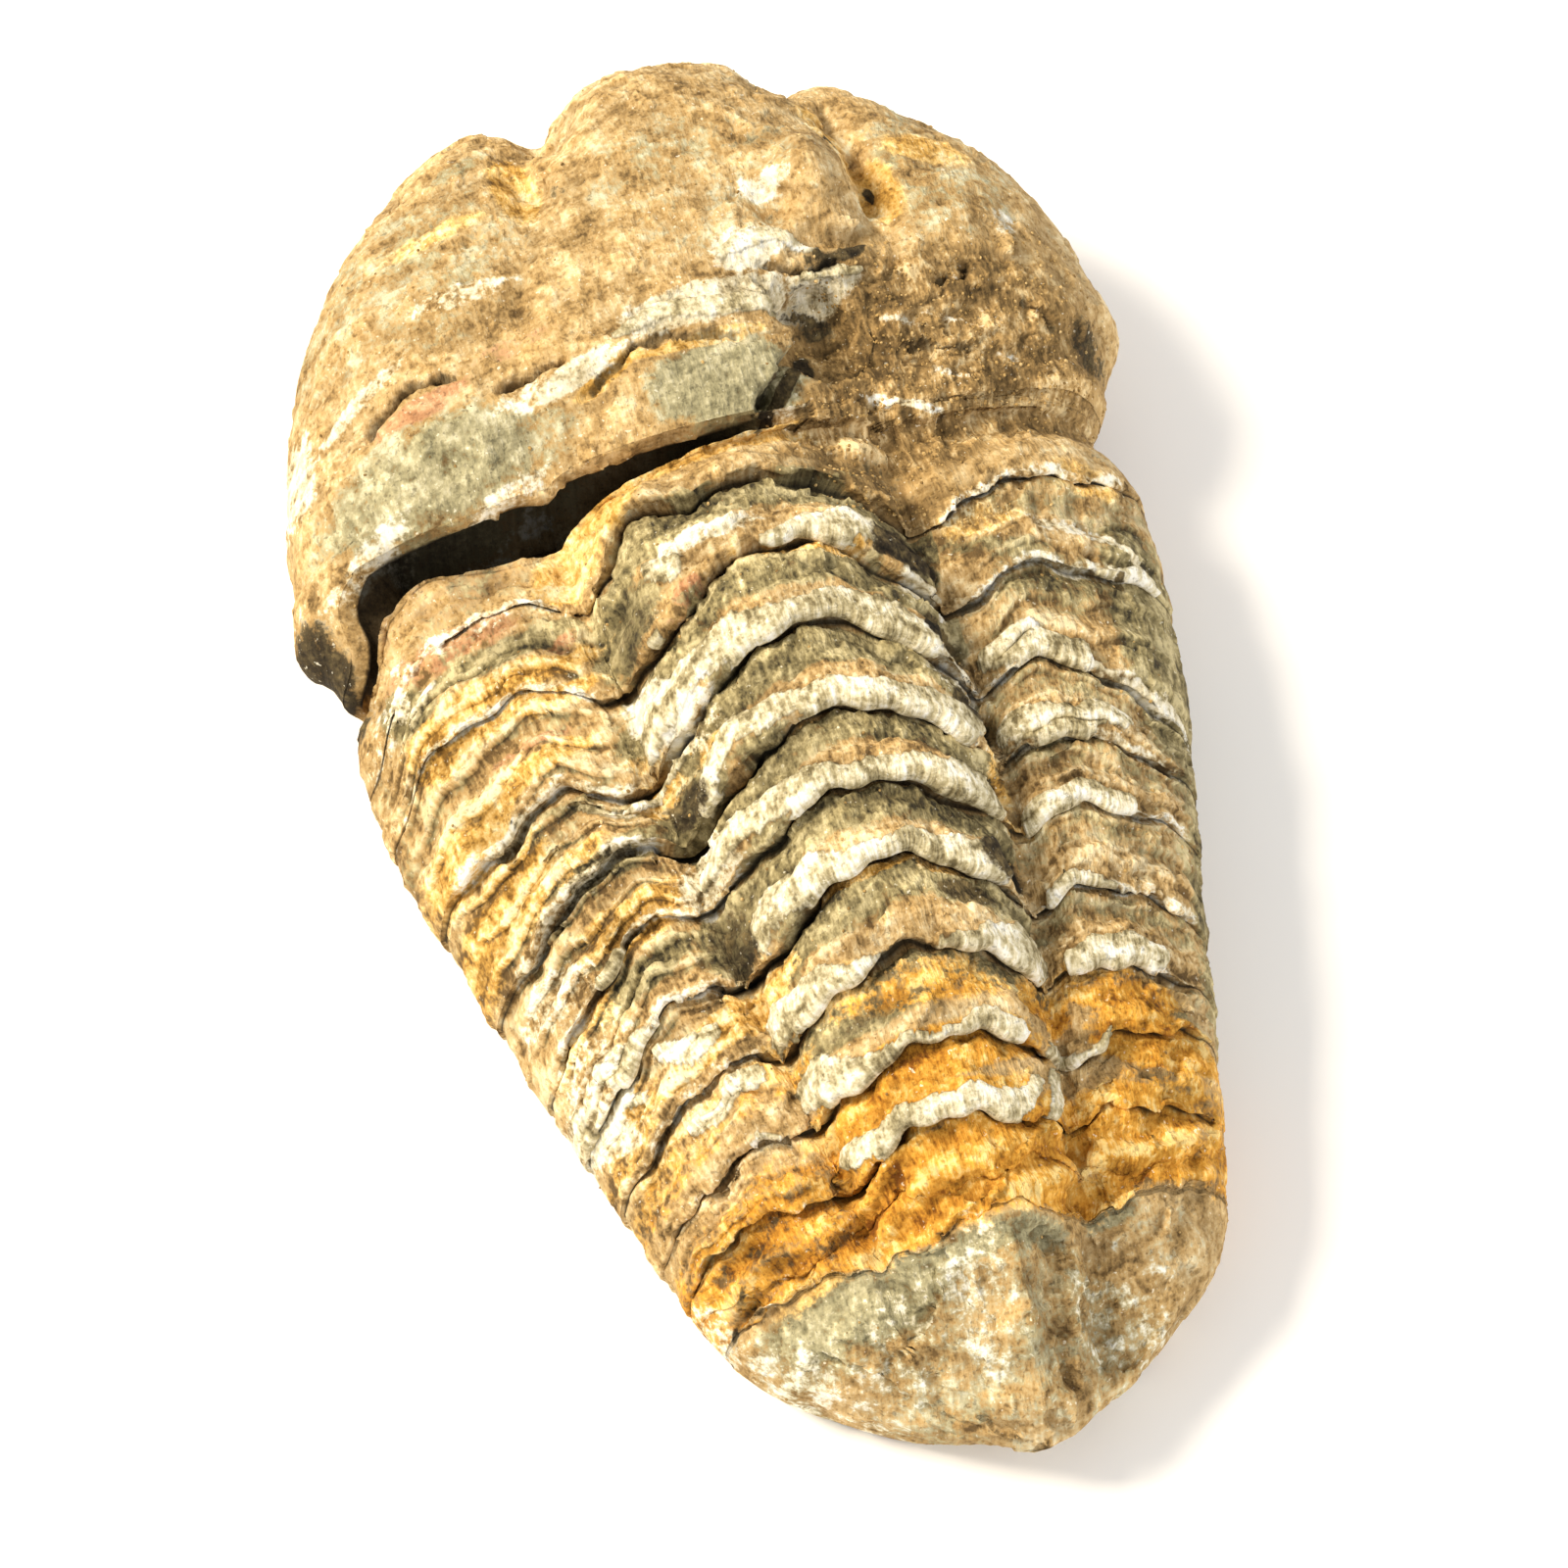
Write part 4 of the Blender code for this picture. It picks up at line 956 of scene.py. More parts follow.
def marks_of_skin():
    """Every mark by name, and the unrolled place of each point."""
    x, y, z = skin[..., 0], skin[..., 1], skin[..., 2]
    flanks = 1.0 + 0.3 * np.arange(1, FLANK_ROWS + 1) / FLANK_ROWS
    under = np.linspace(1.3, -1.3, BELLY_COLUMNS + 1)[1:-1]
    place = np.broadcast_to(np.concatenate([across, flanks, under, -flanks[::-1]]), x.shape)
    course = np.broadcast_to(table["course"], x.shape)
    found = {kind: stain(kind, x, y) for kind in STAINS}
    phase, q = np.mod(course, 1.0), np.abs(place)
    ringed = (course > 0.9) & (course < LAST_LINE)
    front = ease(0.0, 0.05, phase) * ease(0.66, 0.40, phase) * ringed * ease(8.2, 7.0, course)
    front = front * np.where(q < 0.42, 0.8, np.where(place > 0.0, 0.42, 0.35))
    rear = ease(6.4, 8.0, course) * ease(TAIL_START, TAIL_EDGE, course)
    found["slate"] = np.where(course < 0.0, found["grey"], found["grey"] * ease(10.8, 11.1, course))
    found["grey"] = np.where(found["slate"] > 0.0, 0.0, np.maximum(found["grey"], front))
    rear = rear * np.where(place < -0.42, 0.6, 1.0)
    rusty = 0.58 * ease(7.6, 9.0, course) * ease(TAIL_START, TAIL_EDGE, course)
    found["rust"] = np.maximum(found["ochre"] * rear, rusty)
    found["ochre"] = found["ochre"] * (1.0 - rear)
    # Painted highlight: a pale cream line along the rear lip of each rib
    lip = ease(0.86, 0.96, phase) * ringed * ease(0.42, 0.5, q) * ease(1.0, 0.9, q)
    found["cream"] = np.maximum(found["cream"], 0.5 * lip * (1.0 - rear))
    shown = np.clip(1.0 - padded(crack_shade), 0.0, 1.0)
    raised = ease(-0.5, 0.4, np.where(ringed, table["share"] + 0.5, 1.0))
    found["crust"] = crust_at(course, place) * shown * ease(0.6, 1.8, z) * raised
    ribs, layers = ribs_at(course, place), layers_at(course, place)
    rough = 0.72 + 0.1 * ease(-0.1, 0.3, course) + 0.5 * found["sand"]
    rough = rough - 0.25 * found["slate"] - 0.65 * found["crust"] - 0.2 * ribs
    rough = rough + 0.2 * ease(11.0, 11.3, course)
    rough = rough * (1.0 - 0.45 * ease(0.86, 1.0, q))
    found["rough"] = rough * shown * ease(0.2, 1.6, z)
    # Painted shadow along the deep breaks, and painted shade in the cracks and the gap under the
    # head
    found["breaks"], found["crack"] = padded(break_shadow), padded(crack_shade)
    # The painted crack shade is fainter on the last rings and on the ribs
    faded = 1.0 - 0.75 * rear * ease(9.3, 9.8, course)
    found["crack"] = found["crack"] * faded * (1.0 - 0.35 * ribs)
    # Painted light and shade: the layer mark lightens the high end of each flaked layer and each
    # ridge crest, and darkens the foot of each layer's step
    layered = (layers - 0.5) * ribs * (1.0 - ease(8.9, 9.4, course))
    found["layer"] = 0.5 + layered + 0.3 * ridges_at(course, x, y)
    banded = 0.5 * (layers - 0.5) * ribs * (found["ochre"] > 0.05)
    found["ochre"] = np.clip(found["ochre"] + banded, 0.0, 1.0)
    under_layers = 0.5 * ribs * ease(0.5, 0.1, layers) * ease(8.0, 7.0, course)
    found["grey"] = np.maximum(found["grey"], under_layers)
    found["fibrous"] = np.maximum(0.32 + 0.46 * ringed - 0.3 * rear, 0.85 * found["sand"])
    on_rings = (course >= 0.0) & (course <= LAST_LINE)
    lay_x = np.where(on_rings, place * PLACE_MM, x)
    lay_y = np.where(on_rings, line_at(course)[0], y)
    return found, np.stack([lay_x, lay_y, 0.0 * x], axis=-1) * MM


marks, lay = marks_of_skin()
print("marks on the mesh:", ", ".join(marks))

# %% [markdown]
# ## Three pieces of skin
#
# A mesh past 200,000 triangles would be thinned when the part is stored, so the skin is made in
# three pieces that meet in the deepest rows of two cracks, where no seam can show. Each piece is
# closed by a fan of faces inside the stone, so that it is a solid of its own.

# %% Meshes of the skin
def place_in_scene(name, data):
    """A new object for a mesh, a lamp or a camera, at the origin."""
    piece = bpy.data.objects.new(name, data)
    bpy.context.scene.collection.objects.link(piece)
    return piece


def skin_piece(name, first, last):
    """The rows from first to last as a closed mesh, with every mark on its points."""
    part = slice(first, last + 1)
    height = last + 1 - first
    tail_tip = TIP_TAIL if first == 0 else skin[first].mean(axis=0)
    head_tip = TIP_HEAD if last == len(rows) - 1 else skin[last].mean(axis=0)
    places = np.concatenate([skin[part].reshape(-1, 3), [tail_tip, head_tip]])
    places = places - (CENTRE_X, CENTRE_Y, 0.0)
    grid = np.arange(height * columns).reshape(height, columns)
    after = np.roll(grid, -1, axis=1)
    quads = np.stack([grid[:-1], after[:-1], after[1:], grid[1:]], axis=-1).reshape(-1, 4)
    tail = [(grid.size, b, a) for a, b in zip(grid[0].tolist(), after[0].tolist())]
    head = [(grid.size + 1, a, b) for a, b in zip(grid[-1].tolist(), after[-1].tolist())]
    mesh = bpy.data.meshes.new(name)
    mesh.from_pydata((places * MM).tolist(), [], quads.tolist() + tail + head)
    for mark, values in marks.items():
        values = np.append(values[part].ravel(), [0.0, 0.0]).astype(np.float32)
        mesh.attributes.new(mark, "FLOAT", "POINT").data.foreach_set("value", values)
    seam = np.zeros((height, columns))
    seam[[0, -1]] = 1.0
    normals = np.zeros((height, columns, 3))
    normals[:, :BACK_COLUMNS] = back_normals[part]
    values = np.append(seam.ravel(), [0.0, 0.0])
    mesh.attributes.new("seam", "FLOAT", "POINT").data.foreach_set("value", values)
    for label, values in (("out", normals), ("lay", lay[part])):
        values = np.append(values.ravel(), [0.0] * 6).astype(np.float32)
        mesh.attributes.new(label, "FLOAT_VECTOR", "POINT").data.foreach_set("vector", values)
    # The faces that close a piece inside the stone are flat shaded, and the two tips are smooth
    smooth = np.ones(len(mesh.polygons), bool)
    smooth[len(quads) : len(quads) + columns] = first == 0
    smooth[len(quads) + columns :] = last == len(rows) - 1
    mesh.polygons.foreach_set("use_smooth", smooth)
    mesh.update()
    return place_in_scene(name, mesh)


JOINT_LINE = 6
deep_rows = [number for number, one in enumerate(rows) if one["crack"] == 1.0]
deep_rows = [number for number in deep_rows if round(rows[number]["course"]) == JOINT_LINE]
gap_rows = [number for number, one in enumerate(rows) if one["cut"] == 1.0]
joints = [0, deep_rows[0], gap_rows[0], len(rows) - 1]
names = ("tail_and_rear_rings", "front_rings", "head_shield")
stones = [skin_piece(name, first, last) for name, first, last in zip(names, joints, joints[1:])]
for stone in stones:
    print(stone.name, "has", len(stone.data.polygons), "faces")

# %% [markdown]
# ## Adding nodes
#
# Materials and Geometry Nodes are both trees of nodes, so one small function serves for all of
# them: it adds a node, applies its settings, and fills each input with a value or with a link from
# another node. It gives back the output that is wanted, and through it the node.

# %% Nodes and colours
MATH, VECTOR_MATH, MIX = "ShaderNodeMath", "ShaderNodeVectorMath", "ShaderNodeMix"
NOISE, MAP_RANGE, MARK = "ShaderNodeTexNoise", "ShaderNodeMapRange", "ShaderNodeAttribute"
NAMED_MARK, RANDOM = "GeometryNodeInputNamedAttribute", "FunctionNodeRandomValue"


def add(tree, kind, inputs=(), out=0, **settings):
    """Adds a node with its settings, values and links, and gives back one of its outputs."""
    node = tree.nodes.new(kind)
    for name, value in settings.items():
        setattr(node, name, value)
    for key, value in dict(inputs).items():
        if isinstance(value, bpy.types.NodeSocket):
            tree.links.new(value, node.inputs[key])
        else:
            node.inputs[key].default_value = value
    return node.outputs[out] if len(node.outputs) else node


def linear(code):
    """An sRGB hex colour as the linear numbers that a shader works in."""
    parts = [int(code[start : start + 2], 16) / 255.0 for start in (1, 3, 5)]
    return (*[c / 12.92 if c <= 0.04045 else ((c + 0.055) / 1.055) ** 2.4 for c in parts], 1.0)


print("calcite's cream is", [round(part, 3) for part in linear("#f0e6c8")], "in linear colour")

# %% Materials, trees and plain meshes
def matt_material(name, specular=0.2):
    """A rough material, with its tree of nodes and its shader."""
    material = bpy.data.materials.new(name)
    material.use_nodes = True
    shader = material.node_tree.nodes["Principled BSDF"]
    shader.inputs["Roughness"].default_value = 0.9
    shader.inputs["Specular IOR Level"].default_value = specular
    return material, material.node_tree, shader


def new_tree(name, sizes):
    """A Geometry Nodes tree whose named inputs are the sizes."""
    tree = bpy.data.node_groups.new(name, "GeometryNodeTree")
    tree.interface.new_socket("Geometry", in_out="INPUT", socket_type="NodeSocketGeometry")
    tree.interface.new_socket("Geometry", in_out="OUTPUT", socket_type="NodeSocketGeometry")
    for label, value in sizes.items():
        kind = "NodeSocketInt" if isinstance(value, int) else "NodeSocketFloat"
        kind = "NodeSocketMaterial" if isinstance(value, bpy.types.Material) else kind
        tree.interface.new_socket(label, in_out="INPUT", socket_type=kind)
    return tree, add(tree, "NodeGroupInput").node.outputs


def run_trees(piece, *steps):
    """Puts each tree on the piece with its sizes, and turns the result into a plain mesh."""
    for tree, sizes in steps:
        modifier = piece.modifiers.new(tree.name, "NODES")
        modifier.node_group = tree
        for socket in tree.interface.items_tree:
            if socket.in_out == "INPUT" and socket.name in sizes:
                modifier[socket.identifier] = sizes[socket.name]
    evaluated = piece.evaluated_get(bpy.context.evaluated_depsgraph_get())
    made = bpy.data.meshes.new_from_object(evaluated)
    piece.modifiers.clear()
    old, piece.data = piece.data, made
    bpy.data.meshes.remove(old)
    made.name = piece.name
    print(piece.name, "has", sum(len(face.vertices) - 2 for face in made.polygons), "triangles")


print("ready to build trees for", ", ".join(stone.name for stone in stones))

# %% [markdown]
# ## Weathered limestone
#
# The stone is limestone that weather and the tools that cleaned it have left matt and grainy, so
# it has no shine: a roughness near 0.9 and a weak specular. What the eye reads is its colour at
# several scales: broad drifts of tan and cream, blotches of a millimetre or two, streaks along the
# body, and grain and specks of a few tenths of a millimetre. Each kind of stone is a short ramp
# from its shadow to its light tone, so one sum of noises, the tone, serves them all. A picture of
# real stone would be quicker, but it would repeat and stretch over a shape this bent.

# %% Colours of the stone
STONE_COLOURS = {
    "tan": ("#6c5431", "#b08f5a", "#d0b17c", "#eedaac"),
    "pink": ("#7c5432", "#b5835a", "#cc9a6e", "#e8c294"),
    "sand": ("#5c492b", "#8a6e42", "#b4925c", "#e6cb96"),
    "slate": ("#555038", "#8c8462", "#b1a780", "#dcd3ae"),
    # The grey ramp also colours two strips of painted shade down the right flank
    "grey": ("#3c3626", "#7d704b", "#a49569", "#d2c292"),
    "ochre": ("#7e5a22", "#c99a4a", "#ecc57c", "#fff0c0"),
    "rust": ("#7c4a12", "#c3862a", "#e3a845", "#fddb8c"),
    "cream": ("#8a7a56", "#cfc09a", "#f0e6c8", "#fffcee"),
    "crusted": ("#6e6141", "#b0a27a", "#e0d4b0", "#fcf8e8"),
    # The dark ramp colours the dark ellipses, some of which are painted shadow
    "dark": ("#17130b", "#332a1b", "#51452d", "#7c6a45"),
}
RAMP_PLACES = (0.08, 0.38, 0.64, 0.94)
print(len(STONE_COLOURS), "kinds of stone, each with", len(RAMP_PLACES), "colours")

# %% Tone of the stone
# Name, size in mm, detail, share in the tone
STONE_NOISES = (("drift", 5.0, 2.0, 0.14), ("blotch", 1.4, 4.0, 0.3), ("grain", 0.42, 3.0, 0.22))
# Streaks in the unrolled skin: size across and along in mm, detail, share in the tone
STREAKS = ((5.5, 1.1, 0.5, 0.22), (0.6, 2.4, 2.0, 0.14), (0.22, 0.65, 2.0, 0.3))
BASE_TONE, LAYER_LIGHT_AND_SHADE = 0.178, 0.12
# The sum of the noises at the dark and the light end of every ramp
DARKEST, LIGHTEST = 0.40, 0.60

limestone, tree, shader = matt_material("Weathered limestone, iron stained")
place = add(tree, "ShaderNodeTexCoord", out="Object")
lay_mark = add(tree, MARK, out="Vector", attribute_name="lay")
mark_names = ("fibrous", "layer", "relief", "crack", "breaks", "crusted")
mark = {name: add(tree, MARK, out="Fac", attribute_name=name) for name in mark_names}
streaks = 0.0
for wide, long, detail, share in STREAKS:
    stretch = (1 / (wide * MM), 1 / (long * MM), 1.0)
    streak = add(tree, VECTOR_MATH, {0: lay_mark, 1: stretch}, operation="MULTIPLY")
    fleck = add(tree, NOISE, {"Vector": streak, "Scale": 1.0, "Detail": detail})
    streak = add(tree, MATH, {0: fleck, 1: 0.5}, operation="SUBTRACT")
    streaks = add(tree, MATH, {0: streak, 1: share, 2: streaks}, operation="MULTIPLY_ADD")
# Painted light and shade: the tone is lighter where the layer mark is high, darker where it is low
layers = {0: mark["layer"], 1: LAYER_LIGHT_AND_SHADE, 2: BASE_TONE - 0.5 * LAYER_LIGHT_AND_SHADE}
tone = add(tree, MATH, layers, operation="MULTIPLY_ADD")
tone = add(tree, MATH, {0: streaks, 1: mark["fibrous"], 2: tone}, operation="MULTIPLY_ADD")
noises = {}
for name, size, detail, share in STONE_NOISES:
    grid = {"Vector": place, "Scale": 1 / (size * MM), "Detail": detail, "Roughness": 0.65}
    noises[name] = add(tree, NOISE, grid)
    tone = add(tree, MATH, {0: noises[name], 1: share, 2: tone}, operation="MULTIPLY_ADD")
tone = add(tree, MAP_RANGE, {0: tone, 1: DARKEST, 2: LIGHTEST})
print("the tone is the sum of", len(STREAKS), "streaks and", len(STONE_NOISES), "noises")

# %% [markdown]
# ## Kinds of stone side by side
#
# Real stains end in a ragged edge of grains, not in a blur. So each kind is laid over the ones
# before it through a mask: its mark plus noise, cut off steeply. A plain mix by the mark would
# look airbrushed. The crust has its edge from the geometry already, so its mask has no noise and
# lies exactly on the raised plate.

# %% Laying the kinds of stone over each other
edge_noise = add(tree, MIX, {0: 0.45, 2: noises["blotch"], 3: noises["grain"]}, data_type="FLOAT")
ragged = add(tree, MATH, {0: edge_noise, 1: 2.2, 2: -1.1}, operation="MULTIPLY_ADD")
colour = None
for kind, codes in STONE_COLOURS.items():
    ramp = add(tree, "ShaderNodeValToRGB", {0: tone})
    stops = ramp.node.color_ramp.elements
    for _more in RAMP_PLACES[2:]:
        stops.new(0.5)
    for stop, spot, code in zip(stops, RAMP_PLACES, codes):
        stop.position, stop.color = spot, linear(code)
    if colour is None:
        colour = ramp
        continue
    unsharp, low, high = (0.0, 0.35, 0.65) if kind == "crusted" else (ragged, 0.3, 0.62)
    amount = add(tree, MARK, out="Fac", attribute_name=kind)
    shown = add(tree, MATH, {0: amount, 1: unsharp})
    mask = add(tree, MAP_RANGE, {0: shown, 1: low, 2: high}, interpolation_type="SMOOTHSTEP")
    some = add(tree, MAP_RANGE, {0: amount, 1: 0.02, 2: 0.2})
    mask = add(tree, MATH, {0: mask, 1: some}, operation="MULTIPLY")
    colour = add(tree, MIX, {0: mask, 6: colour, 7: ramp}, out=2, data_type="RGBA")
print(limestone.name, "has", len(tree.nodes), "nodes so far")

# %% [markdown]
# ## Painted shade, specks and crystals
#
# Shade and light are painted into the colour here: hollows darker and high points lighter, a
# dark line of painted shadow along the deep breaks, deep cracks and the gap under the head nearly
# black, and shade at the foot of each flaked layer on the ribs. A darker line also runs along the
# edge of each crust plate, and dark specks come from the stone's grain. Each row below takes one
# mark or noise and turns it into a factor on the colour. Last come pale specks, the cut faces of
# calcite crystals, and a bump of a few tenths of a millimetre for grain that is too fine for the
# mesh.

# %% Wear, cracks and specks
SPECK_SIZE = 0.3 * MM
grid = {"Vector": place, "Scale": 1 / SPECK_SIZE, "Detail": 2.0, "Roughness": 0.6}
speck = add(tree, NOISE, grid)
rim = add(tree, MATH, {0: mark["crusted"], 1: 0.5}, operation="PINGPONG")
# Painted light and shade: relief darkens hollows and lightens high points, breaks and crack
# paint shadow along the breaks and in the cracks, and layer shades the foot of each layer step
# A value, where its effect starts and ends, the factor at each end, and how it goes between them
SHADES = (
    (mark["relief"], -0.9, 0.9, 0.6, 1.14, "LINEAR"),
    (speck, 0.32, 0.42, 0.62, 1.0, "SMOOTHSTEP"),
    (mark["breaks"], 0.78, 0.92, 1.0, 0.35, "SMOOTHSTEP"),
    (mark["crack"], 0.15, 0.85, 1.0, 0.1, "LINEAR"),
    (mark["layer"], 0.02, 0.16, 0.7, 1.0, "LINEAR"),
    (rim, 0.1, 0.45, 1.0, 0.62, "LINEAR"),
)
shade = None
for value, start, end, at_start, at_end, way in SHADES:
    ends = {0: value, 1: start, 2: end, 3: at_start, 4: at_end}
    factor = add(tree, MAP_RANGE, ends, interpolation_type=way)
    shade = add(tree, MATH, {0: shade, 1: factor}, operation="MULTIPLY") if shade else factor
shaded = add(tree, VECTOR_MATH, {0: colour, "Scale": shade}, operation="SCALE")
crystal = add(tree, MAP_RANGE, {0: speck, 1: 0.62, 2: 0.75}, interpolation_type="SMOOTHSTEP")
crystal = {0: crystal, 1: shade, 2: -0.35}
crystal = add(tree, MATH, crystal, operation="MULTIPLY_ADD", use_clamp=True)
pale = add(tree, MIX, {0: crystal, 6: shaded, 7: linear("#fbf3d8")}, out=2, data_type="RGBA")
fine = add(tree, MIX, {0: 0.6, 2: noises["grain"], 3: fleck}, data_type="FLOAT")
bumps = add(tree, "ShaderNodeBump", {"Strength": 0.8, "Distance": 0.3 * MM, "Height": fine})
tree.links.new(pale, shader.inputs["Base Color"])
tree.links.new(bumps, shader.inputs["Normal"])
print(limestone.name, "has", len(tree.nodes), "nodes")

# %% [markdown]
# ## Broken skin
#
# A smooth mesh would look like clay, so Geometry Nodes break it up at the scales that the eye
# reads on real limestone. Broad hollows come from plain noise. Flakes are noise drawn out along
# the rings and cut into steps, like thin layers that have chipped off. Chips are Voronoi cells,
# each tilted its own way, which gives the sharp little facets of broken rock. Fibres run along the
# body, and the crust is a raised plate with a ragged edge. A Displace modifier could do one of
# these at a time; a tree keeps all their sizes in one place and also stores the result, so that
# the material paints shade into the hollows and light onto the high points, and whitens the crust
# just where they are.

# %% Sizes of the broken skin
SKIN_SIZES = {
    "Hollow across": 3.4 * MM, "Hollow along": 3.4 * MM, "Hollow height": 1.0 * MM,
    "Flake across": 6.0 * MM, "Flake along": 1.5 * MM, "Flake height": 1.5 * MM,
    "Fibre across": 0.34 * MM, "Fibre along": 1.6 * MM, "Fibre height": 0.42 * MM,
    "Grain across": 0.5 * MM, "Grain along": 0.5 * MM, "Grain height": 0.22 * MM,
    "Chip size": 1.7 * MM, "Chip slope": 0.34, "Pit spacing": 1.3 * MM, "Pit depth": 0.24 * MM,
    "Crust height": 0.24 * MM, "Seed": 7, "Material": limestone,
}
# Each noise, and the vector it is drawn in: flakes and fibres follow the unrolled skin
RELIEFS = (("Hollow", "position"), ("Flake", "lay"), ("Fibre", "lay"), ("Grain", "position"))
FLAKE_STEP = 0.09
print("crust", round(SKIN_SIZES["Crust height"] / MM, 2), "mm high")

# %% Hollows, flakes, fibres and grain
def noise_relief(tree, size, vectors, fibrous):
    """The sum of the four noises in metres, and each one's swing about 0."""
    total, swing = 0.0, {}
    for level, vector in RELIEFS:
        sizes = {0: size[level + " across"], 1: size[level + " along"], 2: size[level + " across"]}
        sizes = add(tree, "ShaderNodeCombineXYZ", sizes)
        scaled = add(tree, VECTOR_MATH, {0: vectors[vector], 1: sizes}, operation="DIVIDE")
        grid = {"Vector": scaled, "Scale": 1.0, "W": size["Seed"], "Detail": 2.0}
        noise = add(tree, NOISE, grid, noise_dimensions="4D")
        if level == "Flake":
            noise = add(tree, MATH, {0: noise, 1: FLAKE_STEP}, operation="SNAP")
        swing[level] = add(tree, MATH, {0: noise, 1: 0.5}, operation="SUBTRACT")
        if vector == "lay":
            swing[level] = add(tree, MATH, {0: swing[level], 1: fibrous}, operation="MULTIPLY")
        parts = {0: swing[level], 1: size[level + " height"], 2: total}
        total = add(tree, MATH, parts, operation="MULTIPLY_ADD")
    return total, swing


print("levels of relief:", ", ".join(level for level, _vector in RELIEFS))

# %% Chips and pits
PIT_EDGE, PIT_MIDDLE, PITLESS_SHARE = 0.34, 0.14, 0.55


def chips_and_pits(tree, size, position, total):
    """Adds a facet that leans its own way in each Voronoi cell, and a pit in some smaller cells."""
    cells = {}
    for name in ("Chip size", "Pit spacing"):
        each = add(tree, MATH, {0: 1.0, 1: size[name]}, operation="DIVIDE")
        cell = add(tree, "ShaderNodeTexVoronoi", {"Vector": position, "Scale": each})
        cells[name] = cell.node.outputs
    chip, hole = cells["Chip size"], cells["Pit spacing"]
    lean = add(tree, VECTOR_MATH, {0: chip["Color"], 1: (0.5, 0.5, 0.5)}, operation="SUBTRACT")
    away = add(tree, VECTOR_MATH, {0: position, 1: chip["Position"]}, operation="SUBTRACT")
    tilt = add(tree, VECTOR_MATH, {0: away, 1: lean}, out="Value", operation="DOT_PRODUCT")
    total = add(tree, MATH, {0: tilt, 1: size["Chip slope"], 2: total}, operation="MULTIPLY_ADD")
    some = add(tree, MATH, {0: hole["Color"], 1: PITLESS_SHARE}, operation="GREATER_THAN")
    bowl = {0: hole["Distance"], 1: PIT_MIDDLE, 2: PIT_EDGE, 3: -1.0, 4: 0.0}
    pit = add(tree, MAP_RANGE, bowl, interpolation_type="SMOOTHSTEP")
    pit = add(tree, MATH, {0: pit, 1: some}, operation="MULTIPLY")
    return add(tree, MATH, {0: pit, 1: size["Pit depth"], 2: total}, operation="MULTIPLY_ADD")


print("pits", round(SKIN_SIZES["Pit depth"] / MM, 2), "mm deep")

# %% Tree of the broken skin
# The relief that counts as 1 in the mark that the material reads
RELIEF_UNIT = 0.25 * MM


def skin_tree():
    """Moves each point of the skin along its normal, and stores what the material needs to know."""
    tree, size = new_tree("Broken skin", SKIN_SIZES)
    vectors = {"position": add(tree, "GeometryNodeInputPosition")}
    for name in ("lay", "out"):
        vectors[name] = add(tree, NAMED_MARK, {"Name": name}, data_type="FLOAT_VECTOR")
    mark = {}
    for name in ("rough", "crust", "seam", "fibrous"):
        mark[name] = add(tree, NAMED_MARK, {"Name": name}, data_type="FLOAT")
    total, swing = noise_relief(tree, size, vectors, mark["fibrous"])
    total = chips_and_pits(tree, size, vectors["position"], total)
    moved = add(tree, MATH, {0: total, 1: mark["rough"]}, operation="MULTIPLY")
    ragged = mark["crust"]
    for level, share in (("Fibre", 0.9), ("Grain", 1.2)):
        ragged = add(tree, MATH, {0: swing[level], 1: share, 2: ragged}, operation="MULTIPLY_ADD")
    plate = add(tree, MAP_RANGE, {0: ragged, 1: 0.44, 2: 0.56}, interpolation_type="SMOOTHSTEP")
    some = add(tree, MAP_RANGE, {0: mark["crust"], 1: 0.05, 2: 0.25})
    plate = add(tree, MATH, {0: plate, 1: some}, operation="MULTIPLY")
    crust = {0: plate, 1: size["Crust height"], 2: moved}
    raised = add(tree, MATH, crust, operation="MULTIPLY_ADD")
    # At a seam both pieces use the bare back's direction, so that their edges stay together
    either = {0: mark["seam"], 4: add(tree, "GeometryNodeInputNormal"), 5: vectors["out"]}
    normal = add(tree, MIX, either, out=1, data_type="VECTOR")
    offset = add(tree, VECTOR_MATH, {0: normal, "Scale": raised}, operation="SCALE")
    shape = add(tree, "GeometryNodeSetPosition", {"Geometry": size["Geometry"], "Offset": offset})
    share = add(tree, MATH, {0: moved, 1: RELIEF_UNIT}, operation="DIVIDE")
    for name, value in (("relief", share), ("crusted", plate)):
        kept = {0: shape, "Name": name, "Value": value}
        shape = add(tree, "GeometryNodeStoreNamedAttribute", kept)
    shape = add(tree, "GeometryNodeRealizeInstances", {0: shape})
    shape = add(tree, "GeometryNodeSetMaterial", {0: shape, "Material": size["Material"]})
    add(tree, "NodeGroupOutput", {0: shape})
    return tree


broken_skin = skin_tree()
grit = skin_piece("rock_grit", 0, len(rows) - 1)
for stone in stones:
    run_trees(stone, (broken_skin, SKIN_SIZES))

# %% [markdown]
# ## Grit
#
# Behind the right cheek the fossil is still covered by its rock, a sandy matrix of loose grains,
# and crumbs cling to the ledges everywhere. Geometry Nodes scatter small rough grains over the
# skin, thickest where the sand mark is high, turn and size each one at random from a fixed seed,
# and give each its own tone. Each grain has only 20 faces, since there are more than a thousand.

